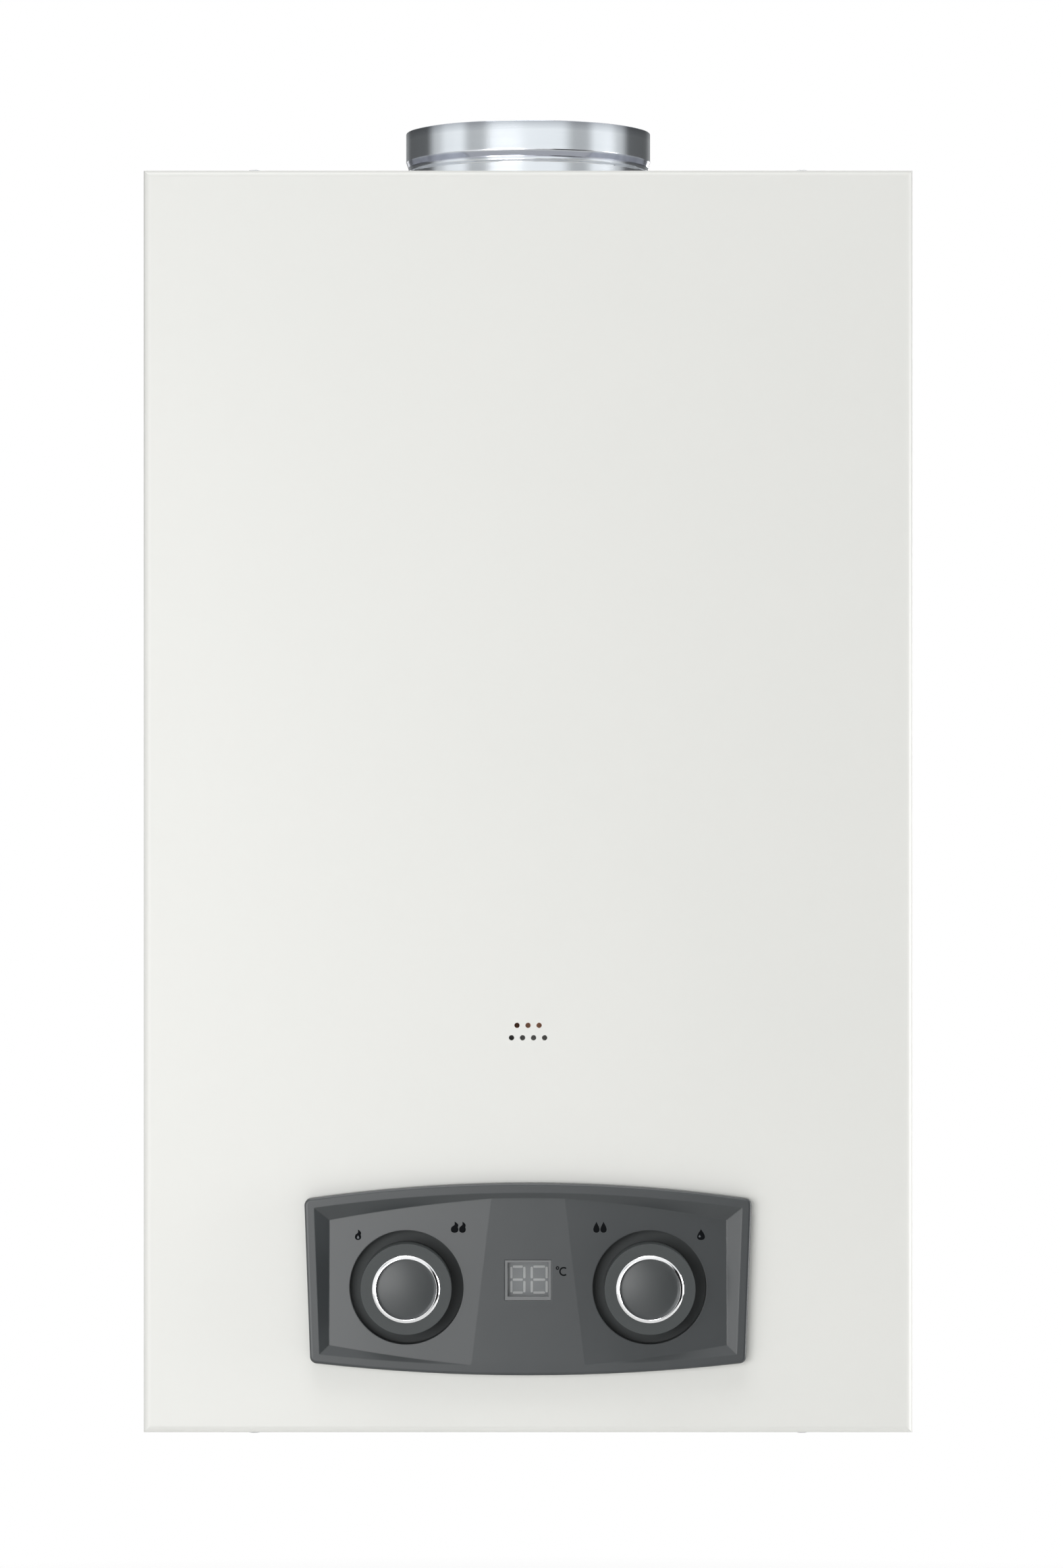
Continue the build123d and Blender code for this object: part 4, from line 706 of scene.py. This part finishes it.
def arc_strip(centre, radius, half_width, start, end, depth):
    """Points of a flat strip bent round a centre: a four-cornered section carried along an arc, with its
    first and last sections drawn in to points."""
    angle = np.radians(np.linspace(start, end, 42))
    angle[[0, -1]] = angle[[1, -2]]
    open_by = np.ones((len(angle), 1))
    open_by[[0, -1]] = 0.0
    reach = radius + open_by * half_width * np.array([-1.0, 1.0, 1.0, -1.0])
    x = centre[0] + reach * np.cos(angle)[:, None]
    z = centre[1] + reach * np.sin(angle)[:, None]
    raised = open_by * np.array([-print_sink, -print_sink, print_lift, print_lift])
    return np.stack([x, depth(x, z) - raised, z], axis=-1)[None]


# The panel's two side floors run from the crests to the outer ends, and the middle band between the crests
left_floor = plane_depth([crest_foot * mirrored, crest_top * mirrored, outer_end * mirrored])
right_floor = plane_depth([crest_foot, crest_top, outer_end])
middle_band = plane_depth([crest_foot * mirrored, crest_top, crest_foot])
panel_ink = two_toned("panel_ink", 0.7, ((0.0035, 0.004, 0.005), (0.006, 0.007, 0.008)), (0.64, 0.76),
                      Specular_IOR_Level=0.05)
signs = np.concatenate([
    thin_plate([flame(2.7, 4.6), flame(3.3, 4.9), flame(2.9, 4.9)],
               [(-73.9, 86.6), (-31.9, 90.0), (-28.5, 90.0)], left_floor),
    thin_plate([drop(2.7, 4.8), drop(2.7, 4.8), drop(3.4, 4.8)],
               [(29.7, 90.0), (32.8, 90.0), (75.2, 86.7)], right_floor),
])
solid_of_rings("panel_signs", signs, panel_ink, "casing")
spot_ink = two_toned("spot_ink", 0.5, ((0.10, 0.11, 0.12), (0.14, 0.15, 0.16)), (0.44, 0.56),
                     Specular_IOR_Level=0.3)
pale_spots = np.concatenate([
    thin_plate([drop(1.0, 1.5)], [(-73.9, 85.6)], left_floor, 2 * print_lift),
    thin_plate([drop(0.9, 1.1)], [(74.6, 86.0)], right_floor, 2 * print_lift),
])
solid_of_rings("panel_sign_spots", pale_spots, spot_ink, "casing")
degree_sign = np.concatenate([
    arc_strip((12.8, 72.3), 0.55, 0.22, 0.0, 372.0, middle_band),
    arc_strip((15.5, 70.8), 1.65, 0.32, 45.0, 315.0, middle_band),
])
solid_of_rings("degree_sign", degree_sign, panel_ink, "casing")

# Display: a circuit board behind the wells carries a grey digit block under a smoked window. Two
# seven-bar digits of milky plastic stand on the block, unlit.
circuit_board, tree, shader = coating("circuit_board", 0.35, Coat_Weight=0.4, Coat_Roughness=0.1)
upright = (np.pi / 2, 0.0, 0.0)
turned = add(tree, "ShaderNodeMapping", {"Vector": place_on(tree), "Rotation": upright}).outputs[0]
tracks = add(tree, "ShaderNodeTexBrick",
             {"Vector": turned, "Scale": 90.0, "Mortar Size": 0.06}).outputs["Fac"]
sheen = use(tree, moulded_grain)["Sheen"]
mask_green = between(tree, sheen, (0.012, 0.075, 0.035), (0.018, 0.105, 0.050))
feed(tree, shader,
     Base_Color=between(tree, tracks, mask_green, (0.035, 0.19, 0.085)),
     Roughness=ranged(tree, sheen, 0.28, 0.42),
     Normal=relief(tree, tracks, strength=0.5, distance=0.00004))
dress(circuit_board, "display_board")

digit_block, tree, shader = coating("digit_block_grey", 0.55)
mould = use(tree, moulded_grain, Size=0.0003, Depth=0.000006)
feed(tree, shader,
     Base_Color=between(tree, mould["Sheen"], (0.41, 0.43, 0.44), (0.45, 0.47, 0.48)),
     Roughness=ranged(tree, mould["Sheen"], 0.5, 0.62),
     Normal=mould["Normal"])
dress(digit_block, "display_module")

milky_bars = two_toned("milky_bars", 0.4, ((0.84, 0.86, 0.86), (0.90, 0.92, 0.92)), (0.36, 0.48))
block_front = -172.8
block_face = plane_depth([(0.0, block_front, 0.0), (1.0, block_front, 0.0), (0.0, block_front, 1.0)])
digit_sides = ((-7.8, -1.1), (1.1, 8.6))
digit_low = 60.9
digit_high = 73.2
digit_middle = (digit_low + digit_high) / 2
bar_width = 1.0
bar_corner = 1.2 * bar_width
bar_lift = 0.15
bar_shapes = []
bar_places = []
for digit_left, digit_right in digit_sides:
    lying = bar(digit_right - digit_left - 2 * bar_corner, bar_width)
    standing = bar(bar_width, (digit_high - digit_low) / 2 - bar_corner)
    bar_shapes += [lying, lying, lying, standing, standing, standing, standing]
    bar_places += [((digit_left + digit_right) / 2, z)
                   for z in (digit_low + bar_width / 2, digit_middle, digit_high - bar_width / 2)]
    bar_places += [(x, digit_middle + half * (digit_high - digit_low) / 4)
                   for x in (digit_left + bar_width / 2, digit_right - bar_width / 2) for half in (-1, 1)]
digits = thin_plate(bar_shapes, bar_places, block_face, bar_lift)
solid_of_rings("display_digits", digits, milky_bars, "casing")

smoked_window = two_toned("smoked_window", 0.14, ((0.050, 0.054, 0.056), (0.060, 0.064, 0.066)), (0.10, 0.18),
                          Alpha=0.2, Coat_Weight=0.3, Coat_Roughness=0.05)
dress(smoked_window, "display_window")

# Window border: a narrow grey frame of satin ink, printed on the window's face along its four edges. It is
# widest along the foot.
border_ink = two_toned("border_ink", 0.4, ((0.164, 0.170, 0.173), (0.176, 0.182, 0.185)), (0.36, 0.44),
                       Specular_IOR_Level=0.4)


def oblong(half, low, high):
    """Four corners of an upright or lying oblong, by its half width and its two ends."""
    return [(-half, low), (half, low), (half, high), (-half, high)]


outer_edge = oblong(10.0, 58.35, 75.65)
inner_edge = oblong(8.9, 59.9, 74.7)
flat = np.array([outer_edge, outer_edge, inner_edge, inner_edge])
raised = np.array([-print_sink, print_lift, print_lift, -print_sink])[:, None]
border = np.stack([flat[..., 0], middle_band(flat[..., 0], flat[..., 1]) - raised, flat[..., 1]], axis=-1)
solid_of_rings("display_border", border[None], border_ink, "casing", loop=True)

# Knobs: moulded grey bodies with a chromed ring and a domed satin cap, pushed on the spindles of the two
# valves. The ring's front is crowned, so that its bright line is thin.
knob_grey, tree, shader = coating("moulded_knob_grey", 0.45, Specular_IOR_Level=0.3)
edges = use(tree, rounded_edges, Radius=0.0004)
mould = use(tree, moulded_grain, Size=0.0005, Depth=0.000008, Normal=edges["Normal"])
feed(tree, shader,
     Base_Color=between(tree, mould["Sheen"], (0.051, 0.057, 0.058), (0.057, 0.063, 0.064)),
     Roughness=ranged(tree, mould["Sheen"], 0.42, 0.50),
     Normal=mould["Normal"])
dress(knob_grey, "gas_knob", "water_knob")

chrome = two_toned("bright_chrome", 0.06, ((0.84, 0.85, 0.86), (0.90, 0.90, 0.91)), (0.04, 0.09),
                   Metallic=1.0)
dress(chrome, "gas_knob_ring", "water_knob_ring")
ring_inner = 13.15
ring_outer = 14.65
ring_lip = 0.1
ring_fall = 0.75
ring_foot = -180.0
ring_front = -185.0


def chromed_ring(name, x, body):
    """Rings round a knob's axis: up the inner wall, over a small lip, then outward on a crown that falls
    back with the square of the way out, and down the outer wall to the foot."""
    turn = np.linspace(0.0, 2 * np.pi, 120, endpoint=False)
    share = np.linspace(0.0, 1.0, 13)
    crown = ring_inner + ring_lip + (ring_outer - ring_inner - ring_lip) * share
    crown_depth = ring_front + ring_fall * share ** 2
    radius = np.concatenate([[ring_inner, ring_inner], crown, [ring_outer]])[:, None]
    depth = np.concatenate([[ring_foot, ring_front + ring_lip], crown_depth, [ring_foot]])[:, None]
    grid = np.stack(np.broadcast_arrays(
        x + radius * np.cos(turn), depth, valve_height + radius * np.sin(turn)
    ), axis=-1)
    piece = solid_of_rings(name + "_chromed", grid[None], chrome, body, loop=True)
    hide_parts(name)


chromed_ring("gas_knob_ring", -valve_across, "gas_knob_set")
chromed_ring("water_knob_ring", valve_across, "water_knob_set")

cap_grey, tree, shader = coating("satin_cap_grey", 0.34, Specular_IOR_Level=0.4)
mould = use(tree, moulded_grain, Size=0.0003, Depth=0.000006)
feed(tree, shader,
     Base_Color=between(tree, mould["Sheen"], (0.057, 0.062, 0.064), (0.065, 0.070, 0.072)),
     Roughness=ranged(tree, mould["Sheen"], 0.30, 0.38),
     Normal=mould["Normal"])
dress(cap_grey, "gas_knob_cap", "water_knob_cap")

# Stage: a pale floor well below the wall-hung heater, cards that the bright metal and the glossy panel
# mirror, soft lamps, and the camera of the photograph. The floor fades out at its rim and is clear
# from below. Lengths of the stage are in metres.
floor_height = -0.45
floor_reach = 3.2
fade_start = 1.0
fade_end = 2.6
floor_mesh = bpy.data.meshes.new("pale_floor")
floor_mesh.from_pydata(
    [(*corner, floor_height) for corner in oblong(floor_reach, -floor_reach, floor_reach)], [], [(0, 1, 2, 3)]
)
floor = bpy.data.objects.new("pale_floor", floor_mesh)
bpy.context.scene.collection.objects.link(floor)
pale, tree, shader = coating("pale_floor", 0.8, Base_Color=(0.86, 0.86, 0.85, 1.0))
flat = add(tree, "ShaderNodeVectorMath", {0: place_on(tree), 1: (1.0, 1.0, 0.0)}, operation="MULTIPLY")
away = add(tree, "ShaderNodeVectorMath", {0: flat.outputs[0]}, operation="LENGTH").outputs["Value"]
faded = ranged(tree, away, 0.0, 1.0, fade_start, fade_end)
below = add(tree, "ShaderNodeNewGeometry").outputs["Backfacing"]
gone = reckon(tree, "MAXIMUM", faded, below)
clear = add(tree, "ShaderNodeBsdfTransparent")
blend = add(tree, "ShaderNodeMixShader", {0: gone, 1: shader.outputs[0], 2: clear.outputs[0]})
feed(tree, tree.nodes["Material Output"], Surface=blend.outputs[0])
floor_mesh.materials.append(pale)


def mirror_card(name, bearing, radius, centre, low, high, closed):
    """A card bent round an upright axis: at each bearing from the camera's side it goes from a low to a high
    edge. It glows, and only mirrors see it. Returns its tree and its emission node."""
    count = len(bearing)
    step = np.arange(count if closed else count - 1)
    after = (step + 1) % count
    foot = np.stack([radius * np.sin(bearing), centre - radius * np.cos(bearing)], axis=-1)
    points = np.concatenate([np.column_stack([foot, low]), np.column_stack([foot, high])])
    quads = np.stack([step, after, after + count, step + count], axis=-1)
    mesh = bpy.data.meshes.new(name)
    mesh.from_pydata(points.tolist(), [], quads.tolist())
    card = bpy.data.objects.new(name, mesh)
    bpy.context.scene.collection.objects.link(card)
    card.visible_camera = False
    card.visible_diffuse = False
    card.visible_transmission = False
    card.visible_shadow = False
    paper = bpy.data.materials.new(name)
    paper.use_nodes = True
    tree = paper.node_tree
    tree.nodes.remove(tree.nodes["Principled BSDF"])
    glow = add(tree, "ShaderNodeEmission", {"Strength": 1.0})
    feed(tree, tree.nodes["Material Output"], Surface=glow.outputs[0])
    mesh.materials.append(paper)
    return tree, glow


# Graded card: a ring of paper round the collar's height, as bright at each bearing from the camera's side
# as a studio's boxes, gaps and flags, and hung lower at both sides towards the back
card_radius = 1.1
card_axis = -millimetre * collar_depth
card_top = 1.0
card_foot = 0.60
side_foot = 0.40
side_from = 92.0
side_to = 152.0
card_tones = ((0, 1.0), (30, 1.0), (44, 0.53), (54, 0.53), (66, 1.0), (80, 0.95), (94, 0.62), (109, 0.13),
              (142, 0.12), (162, 0.30), (180, 0.45))
card_tint = np.array([0.96, 0.99, 1.0])
bearing = np.radians(np.linspace(0.0, 360.0, 72, endpoint=False))
off_front = np.degrees(np.arccos(np.cos(bearing)))
card_low = np.where((off_front > side_from) & (off_front < side_to), side_foot, card_foot)
card_high = np.full(len(bearing), card_top)
tree, glow = mirror_card("graded_card", bearing, card_radius, card_axis, card_low, card_high, closed=True)
place = place_parts(tree)
sideways = reckon(tree, "ABSOLUTE", place["X"])
forward = reckon(tree, "SUBTRACT", card_axis, place["Y"])
angle = reckon(tree, "ARCTAN2", sideways, forward)
ramp = add(tree, "ShaderNodeValToRGB", {"Fac": ranged(tree, angle, 0.0, 1.0, 0.0, np.pi)})
ramp.color_ramp.interpolation = "EASE"
# A new ramp already has its two ends
for degrees, tone in card_tones[1:-1]:
    ramp.color_ramp.elements.new(degrees / 180.0)
for element, (degrees, tone) in zip(ramp.color_ramp.elements, card_tones):
    element.color = (*(tone * card_tint), 1.0)
feed(tree, glow, Color=ramp.outputs["Color"])

# Dark flag: a black card bent round the panel's right side, taller to the far right, that keeps the
# panel's right floor, its left bevel and the right of the chrome rings dark
flag_radius = 1.3
flag_axis = -0.17
flag_bearing = np.radians([7.0, 22.0, 37.0, 52.0, 67.0])
flag_low = np.array([-0.40, -0.40, -0.55, -0.60, -0.60])
flag_high = np.array([0.25, 0.25, 0.75, 0.85, 0.85])
tree, glow = mirror_card("dark_flag", flag_bearing, flag_radius, flag_axis, flag_low, flag_high, closed=False)
feed(tree, glow, Color=(0.02, 0.02, 0.02, 1.0))


def lamp(name, place, aim, size, watts):
    """A soft rectangular lamp at a place, turned towards a point."""
    data = bpy.data.lights.new(name, "AREA")
    data.shape = "RECTANGLE"
    data.size, data.size_y = size
    data.energy = watts
    made = bpy.data.objects.new(name, data)
    made.location = place
    toward = Vector(aim) - Vector(place)
    made.rotation_euler = toward.to_track_quat("-Z", "Y").to_euler()
    bpy.context.scene.collection.objects.link(made)


lamp("key_softbox", place=(-0.79, -2.05, 0.20), aim=(0.0, -0.17, 0.20), size=(1.2, 0.96), watts=19.6)
lamp("side_strip", place=(1.5, -0.30, 0.15), aim=(0.0, -0.17, 0.2), size=(0.4, 0.9), watts=12.5)
lamp("left_strip", place=(-1.424, -1.323, -0.10), aim=(0.0, -0.17, 0.06), size=(0.45, 0.4), watts=1.9)
lamp("top_softbox", place=(-0.2, -0.8, 2.2), aim=(0.0, -0.17, 0.5), size=(1.4, 1.0), watts=18.0)
lamp("back_softbox", place=(0.2, 2.2, 0.9), aim=(0.0, 0.0, 0.3), size=(1.6, 1.2), watts=26.0)

# White room: white to the camera, mirrors and glass, and a weak even light to everything else
ambient = 0.24
world = bpy.data.worlds.new("white_room")
bpy.context.scene.world = world
world.use_nodes = True
tree = world.node_tree
rays = add(tree, "ShaderNodeLightPath").outputs
seen = reckon(tree, "MAXIMUM", rays["Is Camera Ray"], rays["Is Glossy Ray"])
seen = reckon(tree, "MAXIMUM", seen, rays["Is Transmission Ray"])
feed(tree, tree.nodes["Background"], Strength=ranged(tree, seen, ambient, 1.0), Color=(1.0, 1.0, 1.0, 1.0))

camera_data = bpy.data.cameras.new("camera")
camera_data.sensor_width = 36.0
camera_data.lens = 123.9
camera = bpy.data.objects.new("camera", camera_data)
camera.location = (0.0015, -2.52, 0.2826)
camera.rotation_euler = (np.pi / 2, 0.0, 0.0)
bpy.context.scene.collection.objects.link(camera)
bpy.context.scene.camera = camera
bpy.context.scene.view_settings.view_transform = "Standard"
